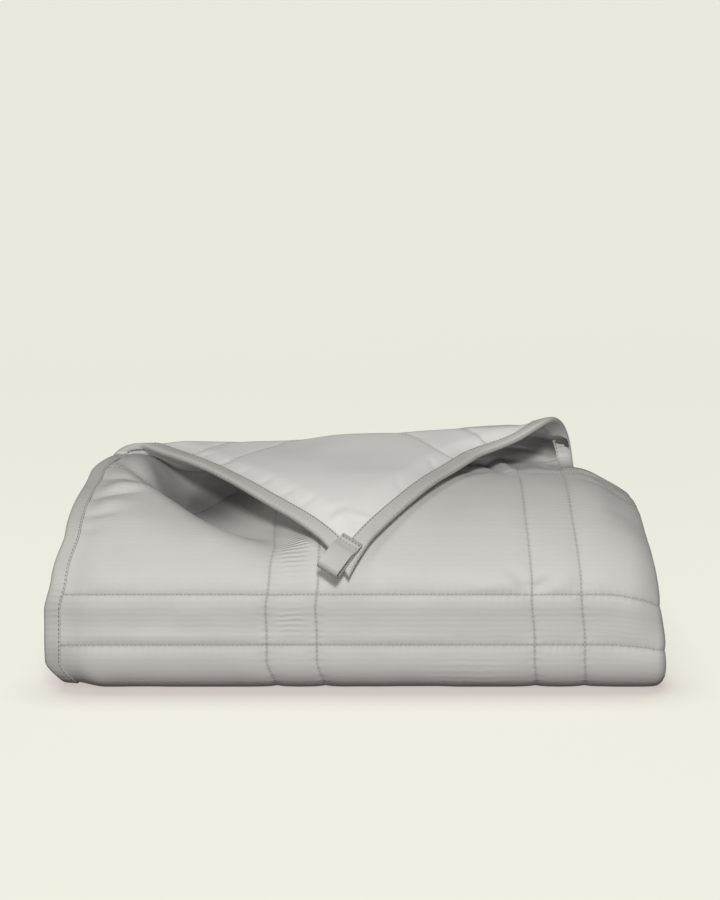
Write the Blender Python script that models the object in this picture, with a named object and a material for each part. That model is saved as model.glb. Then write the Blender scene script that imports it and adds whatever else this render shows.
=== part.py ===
"""A folded weighted blanket, standing on a table with one corner turned over.

The quilted cloth is one sheet.  It is folded once across its width, so every layer of the
stack is two plies joined at the right-hand side, and then back and forth along its length
in nested turns whose last and widest one wraps the front.  The top ply's back corner is
rolled forward over the shoulder and hangs point down on the front, with its face below.

X runs along the front from left to right, Y from front to back, Z up.  The origin is on
the table under the middle of the folded blanket.
"""

import math

import bpy
import bmesh
from mathutils import Vector

MM = 0.001

# The folded stack
X_LEFT = -252 * MM
X_RIGHT = 252 * MM
STACK_DEPTH = 322 * MM
STACK_HEIGHT = 154 * MM
LAYER_PITCH = 26.8 * MM
RIDGE_Y = 145 * MM
FRONT_Z = 66 * MM

# The quilted sheet
QUILT_THICK = 9.5 * MM
SEAM_THICK = 5.6 * MM
EDGE_THICK = 3.7 * MM
PLY_GAP = 1.0 * MM
PLY_OFFSET = (QUILT_THICK + PLY_GAP) / 2
DOUBLE_HALF = PLY_OFFSET + QUILT_THICK / 2
SEAMS = (180 * MM, 220.5 * MM, 396.5 * MM, 437 * MM)

# The binding, a tape folded round the edge
BINDING_WIDTH = 13.4 * MM
BINDING_THICK = 7.0 * MM
EDGE_INSET = 2.0 * MM
EDGE_ROW = 12.0 * MM
GAP = 0.3 * MM
SLOT_GAP = 0.5 * MM

# The corner that is turned over
FOLD_Y = 192 * MM
CORNER_LEG = 275 * MM
TIP = (-6 * MM, 10 * MM)
FLAP_LEFT = (-189 * MM, FOLD_Y)
FLAP_RIGHT = (145 * MM, FOLD_Y)
FLAP_FLARE = 25 * MM
TIP_FORWARD = 7 * MM

# The hanging loop at the corner
LOOP_WIDTH = 19 * MM
LOOP_LENGTH = 36 * MM
LOOP_THICK = 1.3 * MM
LOOP_EYE = 7.6 * MM
LOOP_FLAT = 20 * MM
LOOP_DROOP = 60 * MM
LOOP_HANG = Vector((-0.56, -0.46, -0.65))

# The middle of the whole depth, which becomes Y = 0
CENTRE_Y = 155.75 * MM


def smooth(low, high, value):
    """0 below low, 1 above high, and an even ramp between them."""
    t = min(max((value - low) / (high - low), 0.0), 1.0)
    return t * t * (3 - 2 * t)


def bell(t):
    return 0.5 * (1 + math.cos(math.pi * t)) if abs(t) < 1 else 0.0


def mix(a, b, t):
    return a + (b - a) * t


def line(y0, z0, y1, z1):
    return lambda f: (mix(y0, y1, f), mix(z0, z1, f))


def arc(centre_y, centre_z, radius_y, radius_z, start, end):
    """An elliptical arc from one angle to another, in degrees from +Y towards +Z."""

    def at(f):
        angle = math.radians(mix(start, end, f))
        return centre_y + radius_y * math.cos(angle), centre_z + radius_z * math.sin(angle)

    return at


# The middle of the double layer, as a path from the inner end to the top of the stack.
BACK_RADIUS = LAYER_PITCH / 2
BACK_Y = STACK_DEPTH - BACK_RADIUS - DOUBLE_HALF
INNER_END_Y = STACK_DEPTH - 9 * MM
LOW, HIGH = DOUBLE_HALF, STACK_HEIGHT - DOUBLE_HALF
MID_LOW, MID_HIGH = LOW + LAYER_PITCH, HIGH - LAYER_PITCH
IN_LOW, IN_HIGH = MID_LOW + LAYER_PITCH, MID_HIGH - LAYER_PITCH
OUTER_FRONT, MID_FRONT, MID_REACH, IN_TURN = 12 * MM, 38 * MM, 24 * MM, 112 * MM
LOW_TURN = 12.5 * MM
BULGE = 5 * MM


def outer_low(f):
    """The front's lower edge: a tight turn at the table, then up with a slight bulge."""
    quarter = math.pi / 2 * LOW_TURN
    way = f * (quarter + FRONT_Z - LOW - LOW_TURN)
    if way < quarter:
        angle = way / LOW_TURN
        y = OUTER_FRONT - BULGE + LOW_TURN * (1 - math.sin(angle))
        return y, LOW + LOW_TURN * (1 - math.cos(angle))
    z = LOW + LOW_TURN + way - quarter
    return OUTER_FRONT - BULGE * (1 - smooth(LOW + LOW_TURN, FRONT_Z, z)), z


def upper_arc(front, top):
    return arc(RIDGE_Y, FRONT_Z, RIDGE_Y - front, top - FRONT_Z, 180, 90)


def reverse(curve):
    return lambda f: curve(1 - f)


TURN = (IN_HIGH - IN_LOW) / 2
PATH = [
    line(INNER_END_Y, IN_LOW, IN_TURN, IN_LOW),
    arc(IN_TURN, IN_LOW + TURN, TURN, TURN, 270, 90),
    line(IN_TURN, IN_HIGH, BACK_Y, IN_HIGH),
    arc(BACK_Y, IN_HIGH + BACK_RADIUS, BACK_RADIUS, BACK_RADIUS, -90, 90),
    line(BACK_Y, MID_HIGH, RIDGE_Y, MID_HIGH),
    reverse(upper_arc(MID_FRONT, MID_HIGH)),
    arc(MID_FRONT + MID_REACH, FRONT_Z, MID_REACH, FRONT_Z - MID_LOW, 180, 270),
    line(MID_FRONT + MID_REACH, MID_LOW, BACK_Y, MID_LOW),
    arc(BACK_Y, LOW + BACK_RADIUS, BACK_RADIUS, BACK_RADIUS, 90, -90),
    line(BACK_Y, LOW, OUTER_FRONT - BULGE + LOW_TURN, LOW),
    outer_low,
    upper_arc(OUTER_FRONT, HIGH),
    line(RIDGE_Y, HIGH, FOLD_Y, HIGH),
]
FRONT_LOW, FRONT_UP, TOP = 10, 11, 12

# Rows of the sheet: where each lies on the path, as (curve, share along it).
ROWS = [
    (0, 0.0), (0, 0.064), (0, 0.16), (0, 0.55),
    (1, 0.0), (1, 0.25), (1, 0.5), (1, 0.75),
    (2, 0.0), (2, 0.5),
    (3, 0.0), (3, 0.25), (3, 0.5), (3, 0.75),
    (4, 0.0), (4, 0.5),
    (5, 0.0), (5, 0.2), (5, 0.4), (5, 0.6), (5, 0.8),
    (6, 0.0), (6, 0.35), (6, 0.7),
    (7, 0.0), (7, 0.5),
    (8, 0.0), (8, 0.2), (8, 0.4), (8, 0.6), (8, 0.8),
    (9, 0.0), (9, 0.35), (9, 0.7),
    (10, 0.0), (10, 0.104), (10, 0.207), (10, 0.311), (10, 0.44), (10, 0.565), (10, 0.78),
    (11, 0.0), (11, 0.1), (11, 0.19), (11, 0.3), (11, 0.43), (11, 0.56), (11, 0.7),
    (11, 0.83), (11, 0.94),
    (12, 0.13), (12, 0.42), (12, 0.745), (12, 1.0),
]
SEAM_ROWS = {(10, 0.565), (11, 0.1), (12, 0.13)}
HALF_DIP_ROWS = {(10, 0.78), (11, 0.0)}
END_ROWS = {(0, 0.0), (0, 0.064), (12, 0.745), (12, 1.0)}

# Columns of the sheet: distance in from the long edge on either ply, and the turn between.
U_FOLD = X_RIGHT - X_LEFT - DOUBLE_HALF
U_TOP = [2, 14, 30, 75, 120, 167, 180, 200, 220.5, 233.5, 275, 295, 315, 355, 383.5, 396.5]
U_TOP += [417, 437, 450]
U_RIGHT = [472, U_FOLD / MM]
U_UNDER = [U_FOLD / MM, 472, 450, 437, 417, 396.5, 305, 220.5, 200, 180, 90, 14, 2]
TURN_STEPS = 5
COLUMNS = (
    [("over", u * MM) for u in U_TOP + U_RIGHT]
    + [("turn", 180 * k / TURN_STEPS) for k in range(1, TURN_STEPS)]
    + [("under", u * MM) for u in U_UNDER]
)
ROLL_COLUMN = len(U_TOP) - 1
ROLL_STEPS = 8

# The turned corner: distances from either edge, alike from both ends of the fold line.
FLAP_STOPS = [0, 12, 28, 44, 56.5, 69, 84, 97, 110, 137.5]
FLAP_STOPS += [165, 178, 191, 206, 218.5, 231, 247, 263, 275]
FLAP_SEAMS = (178 * MM, 218.5 * MM)

# How far each stretch of the path stands in from the right and the left of the stack.
SIDE_INSETS = [
    (42, 10), (42, 9), (42, 8), (33, 11), (24, 14), (24, 15), (24, 15), (24, 16),
    (12, 15), (0, 12), (0, 12), (0, 0), (0, 0),
]


def squash(x, y):
    """How much lower than the full stack it stands at a place."""
    reach = 80 * MM if y < 95 * MM else 190 * MM
    hollow = 16 * MM * bell((x + 103 * MM) / (95 * MM)) * bell((y - 95 * MM) / reach)
    round_side = 45 * MM
    over = min(max(x - 199 * MM, 0.0), 0.93 * round_side)
    droop = round_side - math.sqrt(round_side**2 - over**2)
    back = 12 * MM * smooth(150 * MM, 315 * MM, y)
    left_lift = -12 * MM * (1 - smooth(-200 * MM, -110 * MM, x)) * smooth(105 * MM, 185 * MM, y)
    return hollow + droop + back + left_lift


def recede(x, z):
    """How far the front stands back near its two ends."""
    right = 9 * MM * smooth(222 * MM, 252 * MM, x) * smooth(20 * MM, 90 * MM, z)
    left_foot = 8 * MM * smooth(-205 * MM, -252 * MM, x) * (1 - smooth(0, 45 * MM, z))
    right_foot = 4 * MM * smooth(232 * MM, 252 * MM, x) * (1 - smooth(0, 40 * MM, z))
    return right + left_foot + right_foot


def spot(k, f, x, end_y=FOLD_Y):
    """A point on the middle of the double layer."""
    y, z = PATH[k](f)
    if k == TOP:
        y += smooth(0.0, 0.745, f) * (end_y - FOLD_Y)
    y += recede(x, z) * (1 - smooth(60 * MM, RIDGE_Y, y))
    z = LOW + (z - LOW) * (1 - squash(x, y) / (STACK_HEIGHT - LOW))
    return Vector((x, y, z))


def frame_at(k, f, x, end_y=FOLD_Y):
    """The point, the outward direction and the rightward direction of the double layer."""
    step_f, step_x = 0.004, 0.5 * MM
    point = spot(k, f, x, end_y)
    along = spot(k, f + step_f, x, end_y) - spot(k, f - step_f, x, end_y)
    across = spot(k, f, x + step_x, end_y) - spot(k, f, x - step_x, end_y)
    out = across.cross(along).normalized()
    return point, out, along.cross(out).normalized()


def left_inset(k, f):
    """How far the long edge stands in from the left of the stack."""
    y, z = PATH[k](f)
    inset = SIDE_INSETS[k][1] * MM
    if k == FRONT_LOW:
        inset = 12 * MM * (1 - smooth(LOW, 26 * MM, z))
    if k >= FRONT_UP:
        inset = (
            5 * MM * smooth(FRONT_Z, 89 * MM, z)
            + 8 * MM * smooth(14 * MM, 45 * MM, y)
            + 8 * MM * smooth(45 * MM, RIDGE_Y, y)
            + 13 * MM * smooth(140 * MM, FOLD_Y, y)
        )
    return inset


def right_inset(k, f):
    """How far the turn between the plies stands in from the right of the stack."""
    inset = SIDE_INSETS[k][0] * MM
    if k in (FRONT_LOW, FRONT_UP, TOP):
        z = PATH[k](f)[1]
        inset += 4 * MM * smooth(40 * MM, 85 * MM, z) + 5 * MM * smooth(80 * MM, 130 * MM, z)
    return inset


def end_line(kind, share):
    """Where a column ends at the top of the stack."""
    right_end = FOLD_Y + 8 * MM
    if kind == "over":
        return mix(FOLD_Y, right_end, smooth(0.9, 1.0, share))
    if kind == "turn":
        return right_end
    return mix(STACK_DEPTH - 7 * MM, right_end, smooth(0.0, 1.0, share))


def sheet_spot(k, f, kind, value):
    """The middle of the quilted sheet and its outward direction at a row and a column."""
    left = X_LEFT + left_inset(k, f) + EDGE_INSET + (3 * MM if kind == "under" else 0)
    right = X_RIGHT - DOUBLE_HALF - right_inset(k, f)
    if kind == "turn":
        point, out, side = frame_at(k, f, right, end_line(kind, 1))
        angle = math.radians(value)
        normal = out * math.cos(angle) + side * math.sin(angle)
        return point + normal * PLY_OFFSET, normal
    share = (value - EDGE_INSET) / (U_FOLD - EDGE_INSET)
    point, out, _ = frame_at(k, f, mix(left, right, share), end_line(kind, share))
    normal = out if kind == "over" else -out
    return point + normal * PLY_OFFSET, normal


def near_seam(distance, seams):
    return any(abs(distance - seam) < 1 * MM for seam in seams)


def half_thickness(row, kind, value):
    """Half the sheet's thickness at a row and a column: thin at seams and edges."""
    edge = kind != "turn" and value < 15 * MM
    at_end = row in END_ROWS and not (row[0] == TOP and kind == "over" and value < 410 * MM)
    if edge or at_end:
        return EDGE_THICK / 2
    if row in SEAM_ROWS or (kind != "turn" and near_seam(value, SEAMS)):
        return SEAM_THICK / 2
    if row in HALF_DIP_ROWS or (kind != "turn" and near_seam(value, (200 * MM, 417 * MM))):
        return QUILT_THICK / 2 - 0.9 * MM
    return QUILT_THICK / 2


# The middle of the flap: its height over the shoulder for each y, and that of the roll's
# crest for each x.
FLAP_HEIGHTS = [
    (3, 99), (10, 108.5), (16, 116), (23, 123.5), (31, 129.5), (50, 141), (71, 150),
    (94.5, 157), (119, 161.5), (150, 166.5), (192, 173.5),
]
CREST_HEIGHTS = [
    (-216, 168.5), (-189, 169), (-140, 168.5), (-50, 170), (-10, 174.5), (53, 177.5),
    (88, 180.5), (137, 183), (170, 192.5), (190, 194),
]


def look_up(table, value):
    """The height at a place in a table of millimetres, in metres."""
    value = min(max(value / MM, table[0][0]), table[-1][0])
    for (a, height_a), (b, height_b) in zip(table, table[1:]):
        if value <= b:
            return mix(height_a, height_b, (value - a) / (b - a)) * MM


def flap_height(x, y):
    """The middle of the flap over the shoulder, rising to the roll's crest."""
    rise = look_up(CREST_HEIGHTS, x) - FLAP_HEIGHTS[-1][1] * MM
    return look_up(FLAP_HEIGHTS, y) + rise * smooth(100 * MM, FOLD_Y, y)


class Sheet:
    """Points on a sheet's middle with their outward directions, and the faces between them."""

    def __init__(self):
        self.points, self.normals, self.halves, self.faces = [], [], [], []

    def add(self, point, normal, half):
        self.points.append(point)
        self.normals.append(normal)
        self.halves.append(half)
        return len(self.points) - 1

    def fill_normals(self, first):
        """Sets each direction from the faces round a point, from the point numbered first on."""
        sums = [Vector() for _ in self.points]
        for face in self.faces:
            for n, corner in enumerate(face):
                before = self.points[face[n - 1]] - self.points[corner]
                after = self.points[face[(n + 1) % len(face)]] - self.points[corner]
                if before.length > 1e-6 and after.length > 1e-6:
                    sums[corner] += after.cross(before).normalized() * after.angle(before)
        for n in range(first, len(self.points)):
            self.normals[n] = sums[n].normalized()

    def solid(self, rim):
        """Points and faces of the thickened sheet; rim is its edge, with the sheet on the right."""
        count = len(self.points)
        outer = [p + n * h for p, n, h in zip(self.points, self.normals, self.halves)]
        inner = [p - n * h for p, n, h in zip(self.points, self.normals, self.halves)]
        faces = list(self.faces)
        faces += [tuple(count + n for n in (face[:1] + face[:0:-1])) for face in self.faces]
        edge = [here[0] for here, before in zip(rim, rim[-1:] + rim[:-1]) if here[0] != before[0]]
        faces += [(a, b, b + count, a + count) for a, b in zip(edge, edge[1:] + edge[:1])]
        return outer + inner, faces


def base_grid(sheet):
    """The back-and-forth layers: rows along the cloth, columns over, round and under."""
    grid = []
    for row in ROWS:
        line_of_points = []
        for kind, value in COLUMNS:
            point, normal = sheet_spot(*row, kind, value)
            line_of_points.append(sheet.add(point, normal, half_thickness(row, kind, value)))
        grid.append(line_of_points)
    return grid


def join_rows(sheet, rows, turned=lambda row, n: False):
    """Faces between rows, split from the first corner to the third; turned ones split the other way."""
    for row, (low, high) in enumerate(zip(rows, rows[1:])):
        for n in range(len(low) - 1):
            face = (low[n], low[n + 1], high[n + 1], high[n])
            sheet.faces.append(face[1:] + face[:1] if turned(row, n) else face)


def along_end(row, n):
    """Whether a face lies along an end of the cloth, where its split follows the other edge."""
    last_row, last_n = len(ROWS) - 2, len(COLUMNS) - 2
    return (row == 0 and n > 0) or (row == last_row and ROLL_COLUMN <= n < last_n)


def flap_spot(u, v):
    """A point on the turned corner, u in from its left edge and v in from its right edge."""
    tip, left, right = Vector(TIP), Vector(FLAP_LEFT), Vector(FLAP_RIGHT)
    plan = tip + (right - tip) * (u / CORNER_LEG) + (left - tip) * (v / CORNER_LEG)
    to_fold = (u + v) / CORNER_LEG
    plan.x += FLAP_FLARE * u / CORNER_LEG * smooth(0.72, 1.0, to_fold)
    plan.y -= TIP_FORWARD * (1 - smooth(0.3, 0.75, to_fold))
    return Vector((plan.x, plan.y, flap_height(plan.x, plan.y)))


def flap_half(u, v):
    edge = min(u, v)
    if edge < 13 * MM:
        return EDGE_THICK / 2
    if near_seam(u, FLAP_SEAMS) or near_seam(v, FLAP_SEAMS):
        return SEAM_THICK / 2
    return QUILT_THICK / 2


def turned_corner(sheet, fold_row):
    """The roll along the fold line, and the triangle of cloth that comes forward from it."""
    count = len(FLAP_STOPS)
    nodes = {}
    for p in range(count):
        for q in range(count - p):
            u, v = FLAP_STOPS[p] * MM, FLAP_STOPS[q] * MM
            nodes[p, q] = sheet.add(flap_spot(u, v), None, flap_half(u, v))
    crest = [nodes[p, count - 1 - p] for p in range(count)]
    rolls = [fold_row]
    for step in range(1, ROLL_STEPS):
        angle = math.pi * step / ROLL_STEPS
        ring = []
        for n, (low, high) in enumerate(zip(fold_row, crest)):
            start, end = sheet.points[low], sheet.points[high]
            turned = (1 - math.cos(angle)) / 2
            point = start.lerp(end, turned)
            point.x = mix(start.x, end.x, (1 - math.cos(angle / 2)) ** 1.6)
            point.y += (end.z - start.z) / 2 * math.sin(angle)
            thin = n < 3 or n > count - 4
            ring.append(sheet.add(point, None, (EDGE_THICK if thin else QUILT_THICK) / 2))
        rolls.append(ring)
    rolls.append(crest)
    join_rows(sheet, rolls)
    for p in range(count - 1):
        for q in range(count - 1 - p):
            if p + q == count - 2:
                sheet.faces.append((nodes[p, q], nodes[p, q + 1], nodes[p + 1, q]))
            else:
                corners = [(p, q), (p, q + 1), (p + 1, q + 1), (p + 1, q)]
                corners = corners if p >= q else corners[1:] + corners[:1]
                sheet.faces.append(tuple(nodes[corner] for corner in corners))
    return nodes, rolls


def whole_rim(grid, nodes, rolls):
    """The sheet's edge in order, with the sheet on the right, each point with the next one in."""
    last = len(FLAP_STOPS) - 1
    lower, upper = grid[0], grid[-1]
    fan = upper[ROLL_COLUMN - 1], grid[-2][ROLL_COLUMN - 1], grid[-2][ROLL_COLUMN]
    rim = [(lower[0], grid[1][1])]
    rim += [(row[0], row[1]) for row in grid[1:] + rolls[1:-1]]
    rim += [(nodes[0, q], nodes[1, min(q, last - 1)]) for q in range(last, 0, -1)]
    rim += [(nodes[0, 0], nodes[1, 1])]
    rim += [(nodes[p, 0], nodes[min(p, last - 1), 1]) for p in range(1, last + 1)]
    rim += [(ring[-1], ring[-2]) for ring in reversed(rolls[1:-1])]
    rim += [(upper[ROLL_COLUMN], inner_point) for inner_point in fan]
    rim += list(zip(upper[ROLL_COLUMN + 1 : -1], grid[-2][ROLL_COLUMN + 1 : -1]))
    rim += [(upper[-1], grid[-2][-2])]
    rim += [(row[-1], row[-2]) for row in reversed(grid[1:-1])]
    rim += [(lower[-1], grid[1][-2])]
    rim += list(zip(lower[-2:0:-1], grid[1][-2:0:-1]))
    return rim


def binding_section():
    """The folded tape's section: (distance in from its outer edge, height off the middle)."""
    half = BINDING_THICK / 2
    slot = EDGE_THICK / 2 + SLOT_GAP
    start = EDGE_INSET - SLOT_GAP
    upper = [(0.0, half - 0.8 * MM), (BINDING_WIDTH, half), (BINDING_WIDTH, slot), (start, slot)]
    return upper + [(w, -s) for w, s in reversed(upper)]


def binding_solid(sheet, rim):
    """The tape swept once round the whole edge, along the lines from the rim to the next row in."""
    section = binding_section()
    size = len(section)
    points = []
    for n, (corner, within) in enumerate(rim):
        here = sheet.points[corner]
        same = [other for other in rim[max(n - 2, 0) : n + 3] if other[0] == corner]
        outward = same[len(same) // 2][1]
        for w, s in section:
            share = (w - EDGE_INSET) / EDGE_ROW
            there = sheet.points[within if share > 0 else outward]
            normal = sheet.normals[corner].lerp(sheet.normals[within], max(share, 0.0)).normalized()
            points.append(here.lerp(there, share) + normal * s)
    faces = []
    for n in range(len(rim)):
        low, high = n * size, (n + 1) % len(rim) * size
        for m in range(size):
            k = (m + 1) % size
            face = (low + m, low + k, high + k, high + m)
            faces.append(face if m >= size // 2 - 1 else face[1:] + face[:1])
    return points, faces


def loop_outline():
    """The hanging loop's outer and inner outlines: (along it, across it)."""
    radius = LOOP_EYE / 2 + LOOP_THICK
    centre = LOOP_LENGTH - radius
    outer = [(0, 1.5 * MM), (8 * MM, 1.7 * MM), (15 * MM, radius)]
    inner = [(6 * MM, 0.15 * MM), (9 * MM, 0.4 * MM), (15 * MM, LOOP_EYE / 2)]
    steps = 8
    for n in range(steps + 1):
        angle = math.pi * (0.5 - n / steps)
        outer.append((centre + radius * math.cos(angle), radius * math.sin(angle)))
        inner.append((centre + LOOP_EYE / 2 * math.cos(angle), LOOP_EYE / 2 * math.sin(angle)))
    outer += [(a, -b) for a, b in reversed(outer[:3])]
    inner += [(a, -b) for a, b in reversed(inner[:3])]
    return outer, inner


def loop_solid(root, along, face_up):
    """The tape ring drooping from its root, with an open eye right through its width."""
    width = along.cross(face_up)
    outer, inner = loop_outline()
    points, faces = [], []
    for side in (-1, 1):
        for outline in (outer, inner):
            for a, b in outline:
                bend = max(a - LOOP_FLAT, 0) / LOOP_DROOP
                reach = min(a, LOOP_FLAT) + (LOOP_DROOP + b) * math.sin(bend)
                rise = (LOOP_DROOP + b) * math.cos(bend) - LOOP_DROOP
                middle = root + along * reach + face_up * rise
                points.append(middle + width * (side * LOOP_WIDTH / 2))
    size = len(outer)
    for m in range(size):
        k = (m + 1) % size
        near_out, near_in, far_out, far_in = 0, size, 2 * size, 3 * size
        faces.append((near_out + m, near_out + k, near_in + k, near_in + m))
        faces.append((far_out + k, far_out + m, far_in + m, far_in + k))
        faces.append((near_out + k, near_out + m, far_out + m, far_out + k))
        faces.append((near_in + m, near_in + k, far_in + k, far_in + m))
    return points, faces


def cloth_material(name, colour, roughness):
    material = bpy.data.materials.new(name)
    material.use_nodes = True
    shader = material.node_tree.nodes["Principled BSDF"]
    shader.inputs["Base Color"].default_value = (*colour, 1)
    shader.inputs["Roughness"].default_value = roughness
    shader.inputs["Metallic"].default_value = 0
    return material


def make_object(name, points, faces, material):
    mesh = bpy.data.meshes.new(name)
    mesh.from_pydata([p - Vector((0, CENTRE_Y, 0)) for p in points], [], faces)
    shell = bmesh.new()
    shell.from_mesh(mesh)
    bmesh.ops.remove_doubles(shell, verts=shell.verts[:], dist=0.001 * MM)
    bmesh.ops.triangulate(shell, faces=shell.faces[:], quad_method="FIXED")
    shell.to_mesh(mesh)
    shell.free()
    mesh.shade_smooth()
    mesh.set_sharp_from_angle(angle=math.radians(50))
    mesh.materials.append(material)
    obj = bpy.data.objects.new(name, mesh)
    bpy.context.collection.objects.link(obj)
    return obj


def main():
    for obj in list(bpy.data.objects):
        bpy.data.objects.remove(obj)
    sheet = Sheet()
    grid = base_grid(sheet)
    join_rows(sheet, grid, along_end)
    count = len(sheet.points)
    nodes, rolls = turned_corner(sheet, grid[-1][: ROLL_COLUMN + 1])
    sheet.fill_normals(count)
    rim = whole_rim(grid, nodes, rolls)

    sateen = cloth_material("grey_sateen", (0.42, 0.41, 0.39), 0.55)
    tape = cloth_material("grey_tape", (0.36, 0.35, 0.335), 0.6)
    make_object("quilted_blanket", *sheet.solid(rim), sateen)
    make_object("edge_binding", *binding_solid(sheet, rim), tape)

    corner = nodes[0, 0]
    within = nodes[1, 1]
    face_up = -sheet.normals[within]
    inward = (sheet.points[within] - sheet.points[corner]).normalized()
    lift = BINDING_THICK / 2 + GAP + 3.5 * MM
    root = sheet.points[within] + inward * 2 * MM + face_up * lift
    root.x += 5 * MM
    hang = (LOOP_HANG - face_up * LOOP_HANG.dot(face_up)).normalized()
    make_object("corner_loop", *loop_solid(root, hang, face_up), tape)


main()
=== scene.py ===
# %% [markdown]
# # A folded weighted blanket
#
# The model behind this lesson is plain: a thick sheet in nested folds, a bound edge and a
# small loop.  Here the same cloth is made again from the same sizes, finely enough to carry
# its quilting, its wrinkles and its stitches.
#
# The plan:
#
# 1. sizes, and the path that the cloth takes through the stack
# 2. points on the cloth, row by row, and the corner that is turned over
# 3. quilting and wrinkles, then the solid sheet
# 4. the binding, the loop and every stitch
# 5. cloth materials, floor, light and camera

# %% Start
import math

import bpy
import numpy as np
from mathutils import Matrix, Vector


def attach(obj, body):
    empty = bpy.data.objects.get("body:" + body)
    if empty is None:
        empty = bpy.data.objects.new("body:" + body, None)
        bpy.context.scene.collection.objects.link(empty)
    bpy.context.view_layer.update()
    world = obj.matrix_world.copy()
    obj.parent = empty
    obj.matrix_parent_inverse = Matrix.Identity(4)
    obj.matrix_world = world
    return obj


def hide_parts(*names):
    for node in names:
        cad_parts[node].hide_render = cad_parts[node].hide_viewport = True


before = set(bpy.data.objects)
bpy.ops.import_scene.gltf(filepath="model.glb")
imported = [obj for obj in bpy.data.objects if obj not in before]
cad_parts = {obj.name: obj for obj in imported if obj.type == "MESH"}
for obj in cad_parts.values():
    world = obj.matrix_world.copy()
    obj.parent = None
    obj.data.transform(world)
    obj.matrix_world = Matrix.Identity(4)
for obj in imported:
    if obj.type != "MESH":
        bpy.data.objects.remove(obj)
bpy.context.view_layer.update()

# %% [markdown]
# ## Sizes
#
# All lengths are in metres.  The stack, the cloth and the turned corner have the sizes of
# the plain model.  X runs along the front, Y from front to back.  The numbers below measure
# Y from the front of the stack, and `CENTRE_Y` moves the finished points to the origin.

# %% Sizes
MM = 0.001

# The folded stack: its ends, its size, and the gap from one doubled layer to the next.
X_LEFT, X_RIGHT = -252 * MM, 252 * MM
STACK_DEPTH, STACK_HEIGHT = 322 * MM, 154 * MM
LAYER_PITCH = 26.8 * MM
RIDGE_Y, FOLD_Y = 145 * MM, 192 * MM
FRONT_Z = 66 * MM
CENTRE_Y = 155.75 * MM

# The quilted cloth in a panel, on a seam and at its edge.
QUILT_THICK, SEAM_THICK, EDGE_THICK = 9.5 * MM, 7.0 * MM, 3.7 * MM
PLY_OFFSET = 5.25 * MM
DOUBLE_HALF = 10 * MM

# The sheet ends a little inside the binding's fold.
EDGE_INSET, EDGE_ROW = 2.0 * MM, 12.0 * MM
SLOT_GAP = 0.5 * MM

# The corner that is turned over, seen from above.
CORNER_LEG = 275 * MM
TIP = np.array((-6 * MM, 10 * MM))
FLAP_LEFT = np.array((-189 * MM, FOLD_Y))
FLAP_RIGHT = np.array((145 * MM, FOLD_Y))
FLAP_FLARE = 25 * MM
TIP_FORWARD = 7 * MM
SAG_DOWN, SAG_FORWARD = 6.5 * MM, 3 * MM
HOOD_UP, HOOD_FORWARD = 2.5 * MM, 15 * MM

# The quilting repeats a wide panel and a narrow channel.
PATTERN = 216.5 * MM
CHANNEL = 40.5 * MM
FIRST_SEAM = 180 * MM
U_FOLD = X_RIGHT - X_LEFT - DOUBLE_HALF
FLAT_WIDTH = 2 * U_FOLD + math.pi * PLY_OFFSET
print(f"the cloth is {FLAT_WIDTH:.3f} m wide, {U_FOLD:.3f} m to its fold")

# %% [markdown]
# ## Small helpers
#
# Cloth has no sharp steps, so its shape is told in smooth ones.  `ramp` eases from 0 to 1,
# `bell` is a round hump, and `smooth_table` draws a smooth line through a short table.

# %% Helpers
def ramp(low, high, value):
    t = np.clip((np.asarray(value, float) - low) / (high - low), 0, 1)
    return t * t * (3 - 2 * t)


def bell(t):
    return 0.5 * (1 + np.cos(np.pi * np.clip(np.abs(t), 0, 1)))


def mix(a, b, t):
    return a + (b - a) * t


def unit(vectors):
    return vectors / np.linalg.norm(vectors, axis=-1, keepdims=True)


def smooth_table(table, value):
    places, heights = np.array(table, float).T
    slopes = np.gradient(heights, places)
    n = np.clip(np.searchsorted(places, value) - 1, 0, len(places) - 2)
    step = places[n + 1] - places[n]
    t = np.clip((value - places[n]) / step, 0, 1)
    return (
        heights[n] * (1 + 2 * t) * (1 - t) ** 2
        + slopes[n] * step * t * (1 - t) ** 2
        + heights[n + 1] * t * t * (3 - 2 * t)
        + slopes[n + 1] * step * t * t * (t - 1)
    )


print("half-way up a ramp:", float(ramp(0, 1, 0.5)))

# %% [markdown]
# ## The path through the stack
#
# Seen from the side, the doubled cloth runs from its inner end round a hairpin, then to and
# fro in two nests that each wrap the last.  It could be one drawn curve with many points, but
# lines and arcs keep the layers evenly apart, and each has a size that can be read.  A curve
# takes a share from 0 to 1 and gives (y, z) in the middle of the doubled cloth.

# %% Lines and arcs
def line(y0, z0, y1, z1):
    return lambda f: (mix(y0, y1, f), mix(z0, z1, f))


def arc(centre_y, centre_z, radius_y, radius_z, start, end):
    def at(f):
        angle = math.radians(mix(start, end, f))
        return centre_y + radius_y * math.cos(angle), centre_z + radius_z * math.sin(angle)

    return at


def reverse(curve):
    return lambda f: curve(1 - f)


print("half-way round a quarter arc:", np.round(arc(0, 0, 1, 1, 0, 90)(0.5), 3))

# %% Turns of the path
BACK_RADIUS = LAYER_PITCH / 2
BACK_Y = STACK_DEPTH - BACK_RADIUS - DOUBLE_HALF
LOW, HIGH = DOUBLE_HALF, STACK_HEIGHT - DOUBLE_HALF
OUTER_FRONT, LOW_TURN, BULGE = 12 * MM, 12.5 * MM, 5 * MM
MID_FRONT, MID_REACH = 38 * MM, 24 * MM
MID_LOW, MID_HIGH = LOW + LAYER_PITCH, HIGH - LAYER_PITCH
IN_LOW, IN_HIGH, IN_TURN = MID_LOW + LAYER_PITCH, MID_HIGH - LAYER_PITCH, 112 * MM
TURN = (IN_HIGH - IN_LOW) / 2


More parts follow.
